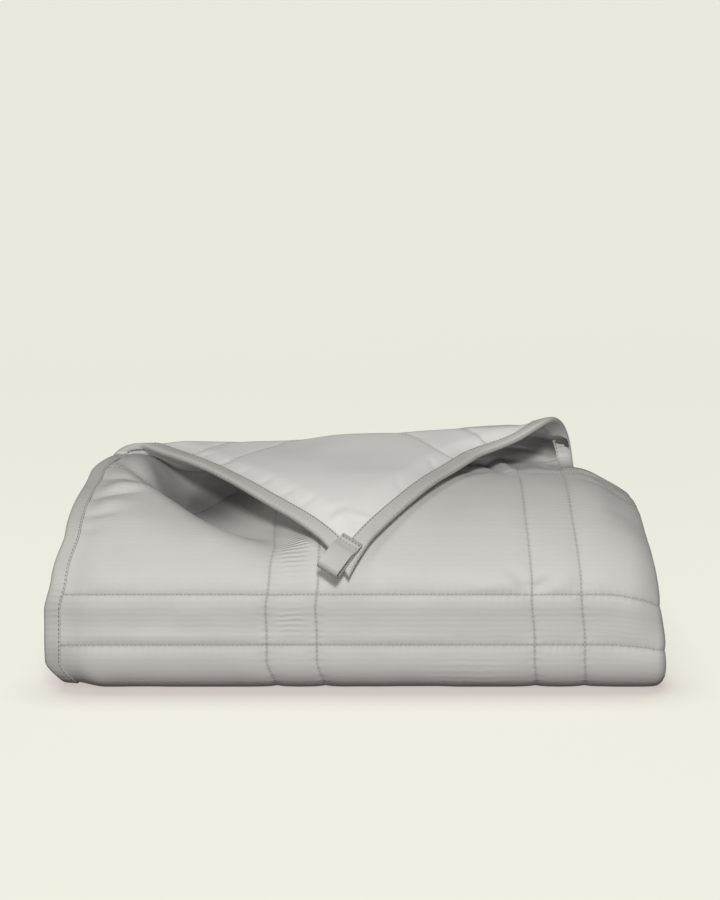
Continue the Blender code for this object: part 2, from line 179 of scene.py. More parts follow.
def outer_low(f):
    """The front's lower edge: a tight turn at the table, then up with a slight bulge."""
    quarter = math.pi / 2 * LOW_TURN
    way = f * (quarter + FRONT_Z - LOW - LOW_TURN)
    if way < quarter:
        angle = way / LOW_TURN
        y = OUTER_FRONT - BULGE + LOW_TURN * (1 - math.sin(angle))
        return y, LOW + LOW_TURN * (1 - math.cos(angle))
    z = LOW + LOW_TURN + way - quarter
    return OUTER_FRONT - BULGE * (1 - float(ramp(LOW + LOW_TURN, FRONT_Z, z))), z


def upper_arc(front, top):
    return arc(RIDGE_Y, FRONT_Z, RIDGE_Y - front, top - FRONT_Z, 180, 90)


print("the hairpin inside has a radius of", round(TURN, 4), "m")

# %% Path
mid_low = arc(MID_FRONT + MID_REACH, FRONT_Z, MID_REACH, FRONT_Z - MID_LOW, 270, 180)
mid_up = upper_arc(MID_FRONT, MID_HIGH)
PATH = [
    line(STACK_DEPTH - 9 * MM, IN_LOW, IN_TURN, IN_LOW),
    arc(IN_TURN, IN_LOW + TURN, TURN, TURN, 270, 90),
    line(IN_TURN, IN_HIGH, BACK_Y, IN_HIGH),
    arc(BACK_Y, IN_HIGH + BACK_RADIUS, BACK_RADIUS, BACK_RADIUS, -90, 90),
    line(BACK_Y, MID_HIGH, RIDGE_Y, MID_HIGH),
    reverse(mid_up),
    reverse(mid_low),
    line(MID_FRONT + MID_REACH, MID_LOW, BACK_Y, MID_LOW),
    arc(BACK_Y, LOW + BACK_RADIUS, BACK_RADIUS, BACK_RADIUS, 90, -90),
    line(BACK_Y, LOW, OUTER_FRONT - BULGE + LOW_TURN, LOW),
    outer_low,
    upper_arc(OUTER_FRONT, HIGH),
    line(RIDGE_Y, HIGH, FOLD_Y, HIGH),
]
BOTTOM, FRONT_LOW, FRONT_UP, TOP = 9, 10, 11, 12
END_SHARE = 0.745
print(len(PATH), "curves, the front starts at", [round(v, 4) for v in PATH[FRONT_LOW](0)])

# %% [markdown]
# ## The stack is not a box
#
# Cloth settles under its own weight.  It sags in a broad hollow left of the middle, droops
# round its right shoulder, slopes down to the back, and its two front ends stand back a
# little.  A cloth simulation could find this, but it would settle differently at each change
# of size, so `squash` lowers the layers by smooth humps that each have a place and a depth.

# %% Sag
HOLLOW_X, HOLLOW_Y, HOLLOW_DEPTH = -103 * MM, 95 * MM, 16 * MM
SHOULDER_X, SHOULDER = 199 * MM, 45 * MM
SHOULDER_SLOPE, BACK_DROP, LEFT_LIFT = 7 * MM, 12 * MM, 12 * MM
POCKET_START, POCKET_RUN = np.array((-158, 150)) * MM, np.array((93, -92)) * MM
POCKET_DEPTH, POCKET_REACH = 34 * MM, 52 * MM


def pocket(x, y):
    """The sag of the top layer under the left edge of the turned corner."""
    from_x, from_y = x - POCKET_START[0], y - POCKET_START[1]
    along = from_x * POCKET_RUN[0] + from_y * POCKET_RUN[1]
    way = np.clip(along / (POCKET_RUN @ POCKET_RUN), 0, 1)
    gap = np.hypot(from_x - way * POCKET_RUN[0], from_y - way * POCKET_RUN[1])
    return POCKET_DEPTH * bell(gap / POCKET_REACH) * (1 - 0.5 * way)


def squash(x, y):
    """How far the top of the stack lies below its full height."""
    reach = np.where(y < HOLLOW_Y, 80 * MM, 190 * MM)
    hollow = HOLLOW_DEPTH * bell((x - HOLLOW_X) / (95 * MM)) * bell((y - HOLLOW_Y) / reach)
    over = np.clip(x - SHOULDER_X, 0, 0.93 * SHOULDER)
    droop = SHOULDER - np.sqrt(SHOULDER**2 - over**2)
    slope = SHOULDER_SLOPE * bell((x - 222 * MM) / (32 * MM)) * ramp(20 * MM, 80 * MM, y)
    back = BACK_DROP * ramp(150 * MM, 315 * MM, y)
    lift = LEFT_LIFT * (1 - ramp(-200 * MM, -110 * MM, x)) * ramp(105 * MM, 185 * MM, y)
    return hollow + droop + back - lift + pocket(x, y) + slope


hollow_top = STACK_HEIGHT - squash(HOLLOW_X, HOLLOW_Y)
print("height at the middle of the hollow:", round(float(hollow_top), 4))


# %% Ends of the stack
def recede(x, z):
    """How far the front stands back near its two ends."""
    right = 9 * MM * ramp(222 * MM, 252 * MM, x) * ramp(20 * MM, 90 * MM, z)
    left_foot = 8 * MM * ramp(-205 * MM, -252 * MM, x) * (1 - ramp(0, 45 * MM, z))
    right_foot = 4 * MM * ramp(232 * MM, 252 * MM, x) * (1 - ramp(0, 40 * MM, z))
    return right + left_foot + right_foot


# How far each curve's right and left ends lie inside the stack, in millimetres.
SIDE_INSETS = [
    (42, 10), (42, 9), (42, 8), (33, 11), (24, 14), (24, 15), (24, 15), (24, 16),
    (12, 15), (0, 12), (0, 12), (0, 0), (0, 0),
]


def left_inset(curve, share):
    """How far the left end of a row lies inside the stack."""
    y, z = PATH[curve](share)
    if curve == FRONT_LOW:
        return 12 * MM * (1 - ramp(LOW, 26 * MM, z))
    if curve >= FRONT_UP:
        return (
            5 * MM * ramp(FRONT_Z, 89 * MM, z)
            + 8 * MM * ramp(14 * MM, 45 * MM, y)
            + 8 * MM * ramp(45 * MM, RIDGE_Y, y)
            + 13 * MM * ramp(140 * MM, FOLD_Y, y)
        )
    return SIDE_INSETS[curve][1] * MM


def right_inset(curve, share):
    """How far the right end of a row lies inside the stack."""
    inset = SIDE_INSETS[curve][0] * MM
    if curve >= FRONT_LOW:
        z = PATH[curve](share)[1]
        inset += 4 * MM * ramp(40 * MM, 85 * MM, z) + 5 * MM * ramp(80 * MM, 130 * MM, z)
    return inset


print("the top's left and right insets:", left_inset(TOP, 0), right_inset(TOP, 0))


# %% Points of the stack
def spot(curve, share, x, end_y):
    """Points in the middle of the doubled cloth, one for each x."""
    y, z = PATH[curve](share)
    y = np.full_like(x, y)
    if curve == TOP:
        y = y + ramp(0, END_SHARE, share) * (end_y - FOLD_Y)
    y = y + recede(x, z) * (1 - ramp(60 * MM, RIDGE_Y, y))
    z = LOW + (z - LOW) * (1 - squash(x, y) / (STACK_HEIGHT - LOW))
    return np.stack((x, y, z), axis=-1)


def frames(curve, share, x, end_y):
    """The points, the outward directions and the rightward directions."""
    step_f, step_x = 0.004, 0.5 * MM
    along = spot(curve, share + step_f, x, end_y) - spot(curve, share - step_f, x, end_y)
    across = spot(curve, share, x + step_x, end_y) - spot(curve, share, x - step_x, end_y)
    out = unit(np.cross(across, along))
    return spot(curve, share, x, end_y), out, unit(np.cross(along, out))


print("a point on the seam in front:", np.round(spot(FRONT_UP, 0.1, np.zeros(1), FOLD_Y)[0], 4))

# %% [markdown]
# ## Rows and columns
#
# A column is a place across the cloth: over, round the fold at the right, then back under.
# A row is a place along the path.  An even grid would be simpler, but this one is close
# together only where it shows, which keeps the mesh light.

# %% Columns
def between(marks, step):
    """The marks, with even steps between them that are no longer than step."""
    out = [marks[0]]
    for a, b in zip(marks, marks[1:]):
        count = max(1, math.ceil(abs(b - a) / step - 1e-6))
        out += [mix(a, b, (n + 1) / count) for n in range(count)]
    return out


SEAM_U = [round((FIRST_SEAM + n) / MM, 1) for n in (0, CHANNEL, PATTERN, PATTERN + CHANNEL)]
U_ROLL = [2, 8] + between([14, *SEAM_U], 4.3) + [443.5, 450]
U_OVER = U_ROLL + between([450, U_FOLD / MM], 4.4)[1:]
ANGLES = np.linspace(0, math.pi, 13)[1:-1]
U_UNDER = between([U_FOLD / MM, *SEAM_U[::-1], 14], 11) + [8, 2]
ROLL_COLUMN = len(U_ROLL) - 1

distance = np.array(U_OVER + [U_FOLD / MM] * len(ANGLES) + U_UNDER) * MM
angle = np.array([0.0] * len(U_OVER) + list(ANGLES) + [math.pi] * len(U_UNDER))
is_turn = (angle > 0) & (angle < math.pi)
is_under = angle >= math.pi
across_share = (distance - EDGE_INSET) / (U_FOLD - EDGE_INSET)
cloth_u = np.where(is_under, FLAT_WIDTH - distance, distance + angle * PLY_OFFSET)
RIGHT_END = FOLD_Y + 8 * MM
end_y = np.where(
    is_under,
    mix(STACK_DEPTH - 7 * MM, RIGHT_END, ramp(0, 1, across_share)),
    mix(FOLD_Y, RIGHT_END, ramp(0.9, 1, across_share)),
)
print(len(distance), "columns, the roll starts at column", ROLL_COLUMN)

# %% Rows
# The seams that run from left to right, each as a curve and a share of it.
SEAM_ROWS = ((FRONT_LOW, 0.565), (FRONT_UP, 0.1), (TOP, 0.13))
LOW_SEAM, UP_SEAM, RIDGE_SEAM = (share for _, share in SEAM_ROWS)
SHARES = {
    0: [0, 0.032, 0.064] + between([0.064, 1], 0.14)[1:],
    1: between([0, 1], 0.1), 2: between([0, 1], 0.13), 3: between([0, 1], 0.1),
    4: between([0, 1], 0.2), 5: between([0, 1], 0.07), 6: between([0, 1], 0.11),
    7: between([0, 1], 0.15), 8: between([0, 1], 0.08), 9: between([0, 1], 0.09),
    10: between([0, 0.311, LOW_SEAM, 1], 0.046), 11: between([0, UP_SEAM, 1], 0.0195),
    12: between([0, RIDGE_SEAM, END_SHARE], 0.07) + [mix(END_SHARE, 1, 0.5), 1],
}
ROWS = [(curve, f) for curve in SHARES for f in SHARES[curve][curve > 0 :]]
print(len(ROWS), "rows along", len(SHARES), "curves")

# %% [markdown]
# ## The sheet's points
#
# One grid of points holds all the layers.  `cloth_v` is the length of cloth up to each row,
# counted from the seam that runs along the middle of the front.

# %% Base grid
def sheet_row(curve, share):
    """One row's points and directions: over, round the fold and back under."""
    left = X_LEFT + left_inset(curve, share) + EDGE_INSET + np.where(is_under, 3 * MM, 0)
    right = X_RIGHT - DOUBLE_HALF - right_inset(curve, share)
    x = np.where(is_turn, right, mix(left, right, across_share))
    point, out, side = frames(curve, share, x, end_y)
    normal = out * np.cos(angle)[:, None] + side * np.sin(angle)[:, None]
    return point + normal * PLY_OFFSET, normal


grid_points, grid_normals = (np.array(part) for part in zip(*(sheet_row(*row) for row in ROWS)))
middle_column = int(np.argmin(np.abs(distance - 0.25)))
steps = np.linalg.norm(np.diff(grid_points[:, middle_column], axis=0), axis=1)
run = np.concatenate(([0], np.cumsum(steps)))
marks = [run[ROWS.index(row)] for row in SEAM_ROWS]
seams = [-CHANNEL, 0, PATTERN - CHANNEL]
cloth_v = np.interp(run, marks, seams)
cloth_v = np.where(run < marks[0], seams[0] + run - marks[0], cloth_v)
cloth_v = np.where(run > marks[2], seams[2] + run - marks[2], cloth_v)
print("seam gaps:", np.round(np.diff(marks), 4), "length so far:", round(run[-1], 3))

# %% [markdown]
# ## The corner that is turned over
#
# The top layer's back corner is thrown forward, so its paler inside shows and its tip hangs
# over the front.  It could be bent from the flat sheet with a modifier, but its outline is
# easier to hold as a surface of its own.  `u` and `v` are distances in from the corner's two
# edges, and the heights come from two short tables.

# %% Turned corner
# The height of the fold line at each x, then of the corner at each y, in millimetres.
CREST_HEIGHTS = [
    (-216, 168.5), (-189, 169), (-140, 168.5), (-50, 170), (-10, 174.5), (53, 177.5),
    (88, 180.5), (137, 183), (170, 192.5), (190, 194),
]
FLAP_PROFILE = [
    (3, 99), (10, 108.5), (16, 116), (23, 123.5), (31, 129.5), (50, 141), (71, 150), (94.5, 157),
    (119, 161.5), (150, 166.5), (192, 173.5),
]
FLAP_SEAMS = (178, 218.5)
STOPS = np.array([0, 6] + between([12, 56.5, 97, *FLAP_SEAMS, 263], 2.54) + [269, 275]) * MM
LAST = len(STOPS) - 1
assert LAST == ROLL_COLUMN, "the roll joins its two rows point to point"


def flap_spots(u, v):
    """Points of the turned corner: its left edge sags, and its right end stands up as a hood."""
    plan = TIP + (FLAP_RIGHT - TIP) * (u / CORNER_LEG)[:, None]
    plan = plan + (FLAP_LEFT - TIP) * (v / CORNER_LEG)[:, None]
    x, y = plan.T
    to_fold = (u + v) / CORNER_LEG
    x = x + FLAP_FLARE * u / CORNER_LEG * ramp(0.72, 1, to_fold)
    y = y - TIP_FORWARD * (1 - ramp(0.3, 0.75, to_fold))
    y = y - 4 * MM * (1 - ramp(0, 60 * MM, v)) * bell((u - 75 * MM) / (80 * MM))
    left_sag = (1 - ramp(0, 75 * MM, u)) * bell((v - 110 * MM) / (120 * MM))
    hood = ramp(0.7, 1, to_fold) * ramp(170 * MM, 262 * MM, u)
    crest = smooth_table(CREST_HEIGHTS, x / MM) * MM
    height = smooth_table(FLAP_PROFILE, y / MM) * MM
    height += (crest - FLAP_PROFILE[-1][1] * MM) * ramp(100 * MM, FOLD_Y, y)
    y = y - SAG_FORWARD * left_sag - HOOD_FORWARD * hood
    return np.stack((x, y, height - SAG_DOWN * left_sag + HOOD_UP * hood), axis=-1)


pq = np.array([(p, q) for p in range(LAST + 1) for q in range(LAST + 1 - p)])
flap_u, flap_v = STOPS[pq[:, 0]], STOPS[pq[:, 1]]
flap_points = flap_spots(flap_u, flap_v)
print(len(flap_points), "points on the turned corner")

# %% [markdown]
# ## The roll
#
# The cloth isn't creased where it turns over: it rolls.  Half rings of points join the top
# layer's last row to the corner's fold line, point to point.  The roll is deeper near its
# right end, where its open mouth shows.

# %% Roll
columns = len(distance)
points = [grid_points.reshape(-1, 3), flap_points]
flap_start = len(ROWS) * columns
index = {tuple(key): flap_start + n for n, key in enumerate(pq)}
fold_row = [(len(ROWS) - 1) * columns + n for n in range(LAST + 1)]
crest_row = [index[p, LAST - p] for p in range(LAST + 1)]
every_point = np.concatenate(points)
start, end = every_point[fold_row], every_point[crest_row]

ROLL_STEPS, MOUTH_DEPTH = 24, 26 * MM
start_x = start[:, 0]
deeper = MOUTH_DEPTH * ramp(90 * MM, 140 * MM, start_x) * (1 - ramp(150 * MM, 186 * MM, start_x))
rolls = [fold_row]
next_index = len(every_point)
for step in range(1, ROLL_STEPS):
    turn = math.pi * step / ROLL_STEPS
    ring = mix(start, end, (1 - math.cos(turn)) / 2)
    ring[:, 0] = mix(start[:, 0], end[:, 0], (1 - math.cos(turn / 2)) ** 1.6)
    ring[:, 1] += ((end[:, 2] - start[:, 2]) / 2 + deeper) * math.sin(turn)
    points.append(ring)
    rolls.append(list(range(next_index, next_index + LAST + 1)))
    next_index += LAST + 1
rolls.append(crest_row)
middle = np.concatenate(points)
print(len(rolls), "rings in the roll,", len(middle), "points in all")

# %% [markdown]
# ## Faces and directions
#
# Four neighbouring points make a face, and three do along the slanting fold line.  `strip`
# also makes the faces of the binding, the loop and the floor.  The faces give each point the
# direction that the cloth's thickness grows in.

# %% Faces
def strip(low, high, closed=False):
    """Faces between two rows of points, from the last pair back to the first if closed."""
    pairs = list(zip(low, high))
    if closed:
        pairs.append(pairs[0])
    return [(a, c, d, b) for (a, b), (c, d) in zip(pairs, pairs[1:])]


faces = []
grid = np.arange(len(ROWS) * columns).reshape(len(ROWS), columns)
for rows_of_points in (grid, np.array(rolls)):
    for low, high in zip(rows_of_points, rows_of_points[1:]):
        faces += strip(low, high)
for p in range(LAST):
    for q in range(LAST - p):
        if p + q == LAST - 1:
            faces.append((index[p, q], index[p, q + 1], index[p + 1, q]))
        else:
            faces.append((index[p, q], index[p, q + 1], index[p + 1, q + 1], index[p + 1, q]))


def face_normals(places, polygons):
    """Unit directions at the points, from the faces round them."""
    sums = np.zeros_like(places)
    for size in (3, 4):
        part = np.array([face for face in polygons if len(face) == size])
        if len(part):
            spots = places[part]
            if size == 4:
                across = np.cross(spots[:, 2] - spots[:, 0], spots[:, 3] - spots[:, 1])
            else:
                across = np.cross(spots[:, 1] - spots[:, 0], spots[:, 2] - spots[:, 0])
            for corner in part.T:
                np.add.at(sums, corner, across)
    return unit(sums)


normals = face_normals(middle, faces)
check = np.sum(normals[:flap_start] * grid_normals.reshape(-1, 3), axis=1)
print(len(faces), "faces, directions agree to at least", round(float(check.min()), 3))

# %% [markdown]
# ## Where each point lies on the cloth
#
# Every point gets its place on the flat cloth.  The seams, the puckers and the weave all
# follow these two numbers, so they turn with the cloth at each fold, as a pattern that is
# laid on from outside couldn't.

# %% Cloth coordinates
CLOTH_END = 2 * PATTERN + FLAP_SEAMS[0] * MM
flat_u = np.tile(cloth_u, len(ROWS))
flat_v = np.repeat(cloth_v, columns)
flap_flat = np.stack((flap_u + EDGE_INSET, CLOTH_END - flap_v), axis=-1)
base_flat = np.stack((flat_u, flat_v), axis=-1)
flat = np.concatenate((base_flat, flap_flat))
for step in range(1, ROLL_STEPS):
    flat = np.concatenate((flat, mix(flat[fold_row], flat[crest_row], step / ROLL_STEPS)))
from_edge = np.minimum(flat[:, 0], FLAT_WIDTH - flat[:, 0])


def seam_distance(place, first):
    """Distance to the nearest seam of a repeat that holds one channel and one wide panel."""
    along = np.mod(place - first, PATTERN)
    return np.minimum(np.minimum(along, PATTERN - along), np.abs(along - CHANNEL))


to_u_seam = seam_distance(from_edge, FIRST_SEAM)
to_v_seam = seam_distance(flat[:, 1], -CHANNEL)
print("points on seams:", int(np.sum(np.minimum(to_u_seam, to_v_seam) < 0.5 * MM)))

# %% [markdown]
# ## Quilting
#
# Beads and fibre lie between two cloths that are sewn together, so the sheet is thin at its
# seams and at its bound edge, and fills out between them.  `edge` is the distance to the
# nearest edge of the sheet, and `half` is half the thickness at each point.

# %% Thickness
count = len(middle)
edge = from_edge.copy()
flap_slice = slice(flap_start, flap_start + len(pq))
edge[flap_slice] = np.minimum(flap_u, flap_v) + EDGE_INSET
from_first = np.repeat(run - run[0], columns)
edge[:flap_start] = np.minimum(edge[:flap_start], from_first + EDGE_INSET)
past_roll = np.tile(np.arange(columns) >= ROLL_COLUMN - 6, len(ROWS))
near_end = np.repeat(run[-1] - run, columns) * np.where(
    np.tile(is_under, len(ROWS)), (end_y[-1] - RIDGE_Y) / (FOLD_Y - RIDGE_Y), 1
)
edge[:flap_start] = np.where(
    past_roll, np.minimum(edge[:flap_start], near_end + EDGE_INSET), edge[:flap_start]
)
for ring in rolls[1:-1]:
    edge[ring] = np.minimum(STOPS, STOPS[::-1]) + EDGE_INSET

SEAM_REACH = 6 * MM
fill = (1 - np.exp(-to_u_seam / SEAM_REACH)) * (1 - np.exp(-to_v_seam / SEAM_REACH))
rise = ramp(13 * MM, 36 * MM, edge)
half = mix(EDGE_THICK / 2, mix(SEAM_THICK, QUILT_THICK, fill) / 2, rise)
print("half thickness from", round(half.min() / MM, 2), "to", round(half.max() / MM, 2), "mm")

# %% [markdown]
# ## Wrinkles
#
# Handled cloth is never smooth: it puckers at seam crossings, creases where it is gathered and
# waves slowly in between.  A sculpted mesh could show that, but couldn't be read or changed.
# So each wrinkle is one line of a table: its two ends on the flat cloth, its half width, and
# how far it stands up (or lies in, if negative), all in millimetres.

# %% Wrinkle shapes
def wrinkle(place, u0, v0, u1, v1, width, height):
    """The height at each place of one ridge that fades at its ends and sides."""
    a, b = np.array((u0, v0)) * MM, np.array((u1, v1)) * MM
    direction = b - a
    t = np.clip((place - a) @ direction / (direction @ direction), 0, 1)
    gap = np.linalg.norm(place - a - t[:, None] * direction, axis=1)
    taper = np.sin(np.pi * np.clip(mix(0.08, 0.92, t), 0, 1))
    return height * MM * np.exp(-((gap / (width * MM)) ** 2)) * taper


def unevenness(place, size, seed):
    """Slow, even-handed waves of about that size, from -1 to 1."""
    u, v = place.T / size
    wave = np.zeros(len(place))
    for n in range(6):
        turn = 2.4 * n + seed
        slant = u * math.cos(turn) * (1 + 0.23 * n) + v * math.sin(turn) * (1 + 0.31 * n)
        wave += np.sin(slant + 1.7 * turn)
    return wave / 4


print("a 2 mm wrinkle, at its middle:", wrinkle(np.zeros((1, 2)), -10, 0, 10, 0, 4, 2))

# %% Wrinkle tables
HOLLOWS = [(58, 196, 190, 70, 26, -6)]
FRONT_WRINKLES = [
    (396, 2, 384, 10, 3, -1.3), (399, 3, 406, 12, 3, -1.3),
    (14, 152, 72, 144, 4, -3.4), (18, 128, 62, 128, 8, 3.4), (14, 108, 56, 121, 4, -3.0),
    (18, 93, 50, 99, 7, 1.8), (14, 79, 42, 83, 4, -2.2), (14, 215, 56, 176, 8, 3.0),
    (14, 196, 44, 168, 4, -3.2), (12, 240, 70, 214, 6, -3.0), (12, 62, 30, 60, 4, -1.2),
    (397, 2, 378, 22, 4, -1.2), (391, 1, 366, 13, 5, 0.6), (399, 2, 414, 15, 4, -1.2),
    (404, 1, 428, 8, 5, 0.4), (440, 2, 430, 16, 4, -0.9), (342, 6, 372, 5, 5, 0.7),
    (6, -34, 200, -36, 5, 1.1), (8, -48, 180, -49, 7, 0.9), (236, -35, 330, -36, 5, 0.6),
    (352, 292, 394, 170, 6, 3.4), (341, 280, 384, 166, 5, -3.2), (384, 320, 430, 214, 4, -1.7),
    (430, 214, 438, 186, 4, -1.5), (434, 206, 484, 140, 4, -1.4), (446, 152, 486, 138, 4, -1.2),
    (410, 260, 452, 180, 8, 1.6), (362, 330, 392, 250, 5, -2.2),
    (282, 486, 344, 418, 4, -6.0), (300, 434, 332, 358, 5, -4.5), (316, 476, 374, 396, 6, 2.6),
    (352, 396, 384, 330, 4, -3.5), (368, 410, 404, 340, 5, 2.2), (300, 520, 352, 452, 4, -2.5),
]
FLAP_WRINKLES = [
    (18, 574, 34, 581, 3, 1.0), (34, 581, 50, 600, 3, 1.0), (24, 566, 44, 577, 4, -0.8),
    (150, 599, 162, 584, 3, -1.1), (96, 600, 106, 588, 3, -0.7), (206, 600, 218, 590, 3, -0.8),
    (12, 400, 30, 408, 3, -0.7), (12, 428, 34, 436, 3, -0.8), (12, 456, 28, 463, 3, -0.6),
    (12, 484, 32, 492, 3, -0.8), (12, 512, 30, 521, 3, -0.8), (12, 538, 34, 545, 3, -0.8),
    (60, 520, 120, 470, 16, 0.9), (90, 560, 150, 500, 18, -0.9),
]
# Painted shade: cloth that lies deep under the turned corner is painted darker, since hardly any
# light reaches it.  Each line is laid out like a wrinkle, and its last number is a share from 0 to
# 1.
PAINTED_SHADE_LINES = [
    (5, 222, 195, 140, 25, 1.0), (305, 505, 405, 310, 44, 1.0), (320, 345, 385, 340, 42, 1.0),
    (345, 215, 390, 258, 16, 0.9),
]
# Where the cloth is rippled along a channel: from u, to u, from v, to v, and how much.
RIPPLED = [(181, 220, 2, 78, 1.0), (181, 220, -39, -2, 0.35), (285, 400, -78, -44, 0.2)]
print(len(FRONT_WRINKLES), "wrinkles in front,", len(FLAP_WRINKLES), "on the turned corner")

# %% [markdown]
# ## Relief
#
# The tables are summed on the outside of the front and on the inside of the corner, the only
# faces that show.  Where the cloth lies on the table it may only be hollowed, not raised.

# %% Relief
on_front = np.zeros(count, bool)
on_front[:flap_start] = np.repeat([row[0] >= FRONT_LOW for row in ROWS], columns)
on_front[:flap_start] &= np.tile(~is_under, len(ROWS))
on_front[flap_start + len(pq) :] = True
on_flap = np.arange(count) >= flap_start
for one in HOLLOWS:
    middle += normals * np.where(on_front, wrinkle(flat, *one), 0)[:, None]
normals = face_normals(middle, faces)

slow, quick = unevenness(flat, 21 * MM, 0.4), unevenness(flat, 9 * MM, 2.1)
outer_relief = (slow * 0.5 * MM + quick * 0.18 * MM) * fill * rise
inner_relief = unevenness(flat, 24 * MM, 4.0) * 0.5 * MM * fill * rise
for one in FRONT_WRINKLES:
    outer_relief += np.where(on_front, wrinkle(flat, *one), 0)
for one in FLAP_WRINKLES:
    inner_relief += np.where(on_flap, wrinkle(flat, *one), 0)
# Painted shade: how dark the cloth deep under the turned corner is painted, from 0 to 1.
tucked = np.zeros(count)
for one in PAINTED_SHADE_LINES:
    tucked = np.maximum(tucked, np.where(on_front, wrinkle(flat, *one), 0) / MM)
on_table = middle[:, 2] < LOW + 1 * MM
outer_relief[on_table] = np.minimum(outer_relief[on_table], 0)
ripple = np.full(count, 0.06)
for low_u, high_u, low_v, high_v, amount in RIPPLED:
    inside = bell((flat[:, 0] / MM - (low_u + high_u) / 2) / (high_u - low_u) * 2)
    inside = inside * bell((flat[:, 1] / MM - (low_v + high_v) / 2) / (high_v - low_v) * 2)
    ripple = np.where(on_front, np.maximum(ripple, amount * np.minimum(1.6 * inside, 1)), ripple)
print(f"relief from {outer_relief.min() / MM:.2f} to {outer_relief.max() / MM:.2f} mm")

# %% [markdown]
# ## The edge of the sheet
#
# The rim lists the sheet's edge in order, each point with the point 12 mm further in.  It
# goes round the whole cloth once, through every fold, as the bound edge does.  The binding
# and its stitches are laid along it.

# %% Rim
def whole_rim():
    """Pairs of points, (on the edge, further in), once round the sheet."""
    low_end, high_end = grid[0], grid[-1]
    left_low, right_low = grid[2][2], grid[2][-3]
    right_high = grid[-3][-3]
    rim = [(low_end[0], left_low), (grid[1][0], left_low)]
    rim += [(row[0], row[2]) for row in grid[2:]]
    rim += [(ring[0], ring[2]) for ring in rolls[1:-1]]
    held = np.clip(np.arange(LAST + 1), 2, LAST - 2)
    rim += [(index[0, q], index[2, held[q]]) for q in range(LAST, 0, -1)]
    rim += [(index[0, 0], index[2, 2])]
    rim += [(index[p, 0], index[held[p], 2]) for p in range(1, LAST + 1)]
    rim += [(ring[-1], ring[-3]) for ring in reversed(rolls[1:-1])]
    corner = high_end[ROLL_COLUMN]
    rim += [(corner, high_end[ROLL_COLUMN - 2]), (corner, grid[-3][ROLL_COLUMN - 2])]
    rim += [(corner, grid[-3][ROLL_COLUMN])]
    rim += list(zip(high_end[ROLL_COLUMN + 1 : -2], grid[-3][ROLL_COLUMN + 1 : -2]))
    rim += [(high_end[-2], right_high), (high_end[-1], right_high), (grid[-2][-1], right_high)]
    rim += [(row[-1], row[-3]) for row in grid[-3:1:-1]]
    rim += [(grid[1][-1], right_low), (low_end[-1], right_low), (low_end[-2], right_low)]
    rim += list(zip(low_end[-3:1:-1], grid[2][-3:1:-1]))
    rim += [(low_end[1], left_low)]
    return rim


rim = whole_rim()
rim_edge = [here[0] for here, before in zip(rim, rim[-1:] + rim[:-1]) if here[0] != before[0]]
print(len(rim), "rim entries,", len(rim_edge), "points")

# %% [markdown]
# ## Making mesh objects
#
# One function makes every mesh.  It takes points in the stack's measure and moves them to
# the origin, so that each object stays unmoved and unturned.

# %% Mesh maker
def make_mesh(name, places, polygons, flat_places=None, extra=None):
    """An object of those points and faces, with a place on the flat cloth for each point."""
    mesh = bpy.data.meshes.new(name)
    moved = np.asarray(places) - np.array((0, CENTRE_Y, 0))
    mesh.from_pydata(moved.tolist(), [], [tuple(int(n) for n in face) for face in polygons])
    if flat_places is not None:
        corners = np.empty(len(mesh.loops), np.int32)
        mesh.loops.foreach_get("vertex_index", corners)
        layer = mesh.uv_layers.new(name="cloth")
        layer.data.foreach_set("uv", np.asarray(flat_places)[corners].astype(np.float32).ravel())
    for key, values in (extra or {}).items():
        attribute = mesh.attributes.new(key, "FLOAT", "POINT")
        attribute.data.foreach_set("value", np.asarray(values, np.float32))
    mesh.shade_smooth()
    obj = bpy.data.objects.new(name, mesh)
    bpy.context.scene.collection.objects.link(obj)
    print(name, "has", len(mesh.vertices), "points and", len(mesh.polygons), "faces")
    return obj


print("the front of the stack comes to y =", -CENTRE_Y)

# %% [markdown]
# ## The quilted cloth
#
# The sheet is closed: an outer face, an inner face, and a strip round the edge that joins
# them.  A Solidify modifier would give one even thickness, but here each point has its own.

# %% Quilted cloth
outer = middle + normals * (half + outer_relief)[:, None]
inner = middle - normals * (half + inner_relief)[:, None]
polygons = faces + [tuple(count + n for n in (face[:1] + face[:0:-1])) for face in faces]
polygons += [(a, b, b + count, a + count) for a, b in zip(rim_edge, rim_edge[1:] + rim_edge[:1])]
quilt = make_mesh(
    "quilted_cloth", np.concatenate((outer, inner)), polygons, np.concatenate((flat, flat)),
    {
        "ripple": np.concatenate((ripple, ripple)),
        "reverse_side": np.repeat((0.0, 1.0), count),
        # the share of painted shade under the turned corner, on the outside only
        "tucked": np.concatenate((tucked, 0 * tucked)),
    },
)

# %% [markdown]
# ## The binding
#
# A tape is folded over the raw edge and sewn through.  Its section has a round outer fold and
# two flat sides that end in a sewn-down lip.  A curve with a bevel would twist at the folds,
# so the section is set beside each pair of the rim instead, and always lies along the cloth.

# %% Binding section
# (distance in from the fold, height above the middle of the cloth), in millimetres
SLOT = EDGE_THICK / 2 / MM + SLOT_GAP / MM
UPPER = [
    (0.0, 0.8), (0.4, 1.6), (1.1, 2.3), (2.3, 2.75), (4.3, 2.95), (7.2, 2.95), (10.2, 2.9),
    (12.2, 2.8), (13.1, 2.65), (13.4, 2.4), (13.3, SLOT), (7.0, SLOT), (1.5, SLOT),
]
SECTION = np.array(UPPER + [(w, -s) for w, s in reversed(UPPER)]) * MM
corner_of = np.array([entry[0] for entry in rim])
within_of = np.array([entry[1] for entry in rim])
outward_of = within_of.copy()
for n in range(len(rim)):
    near = range(max(n - 2, 0), min(n + 3, len(rim)))
    same = [m for m in near if corner_of[m] == corner_of[n]]
    outward_of[n] = within_of[same[len(same) // 2]]
on_rim = middle[corner_of]
rim_run = np.cumsum(np.linalg.norm(on_rim - np.roll(on_rim, 1, axis=0), axis=1))
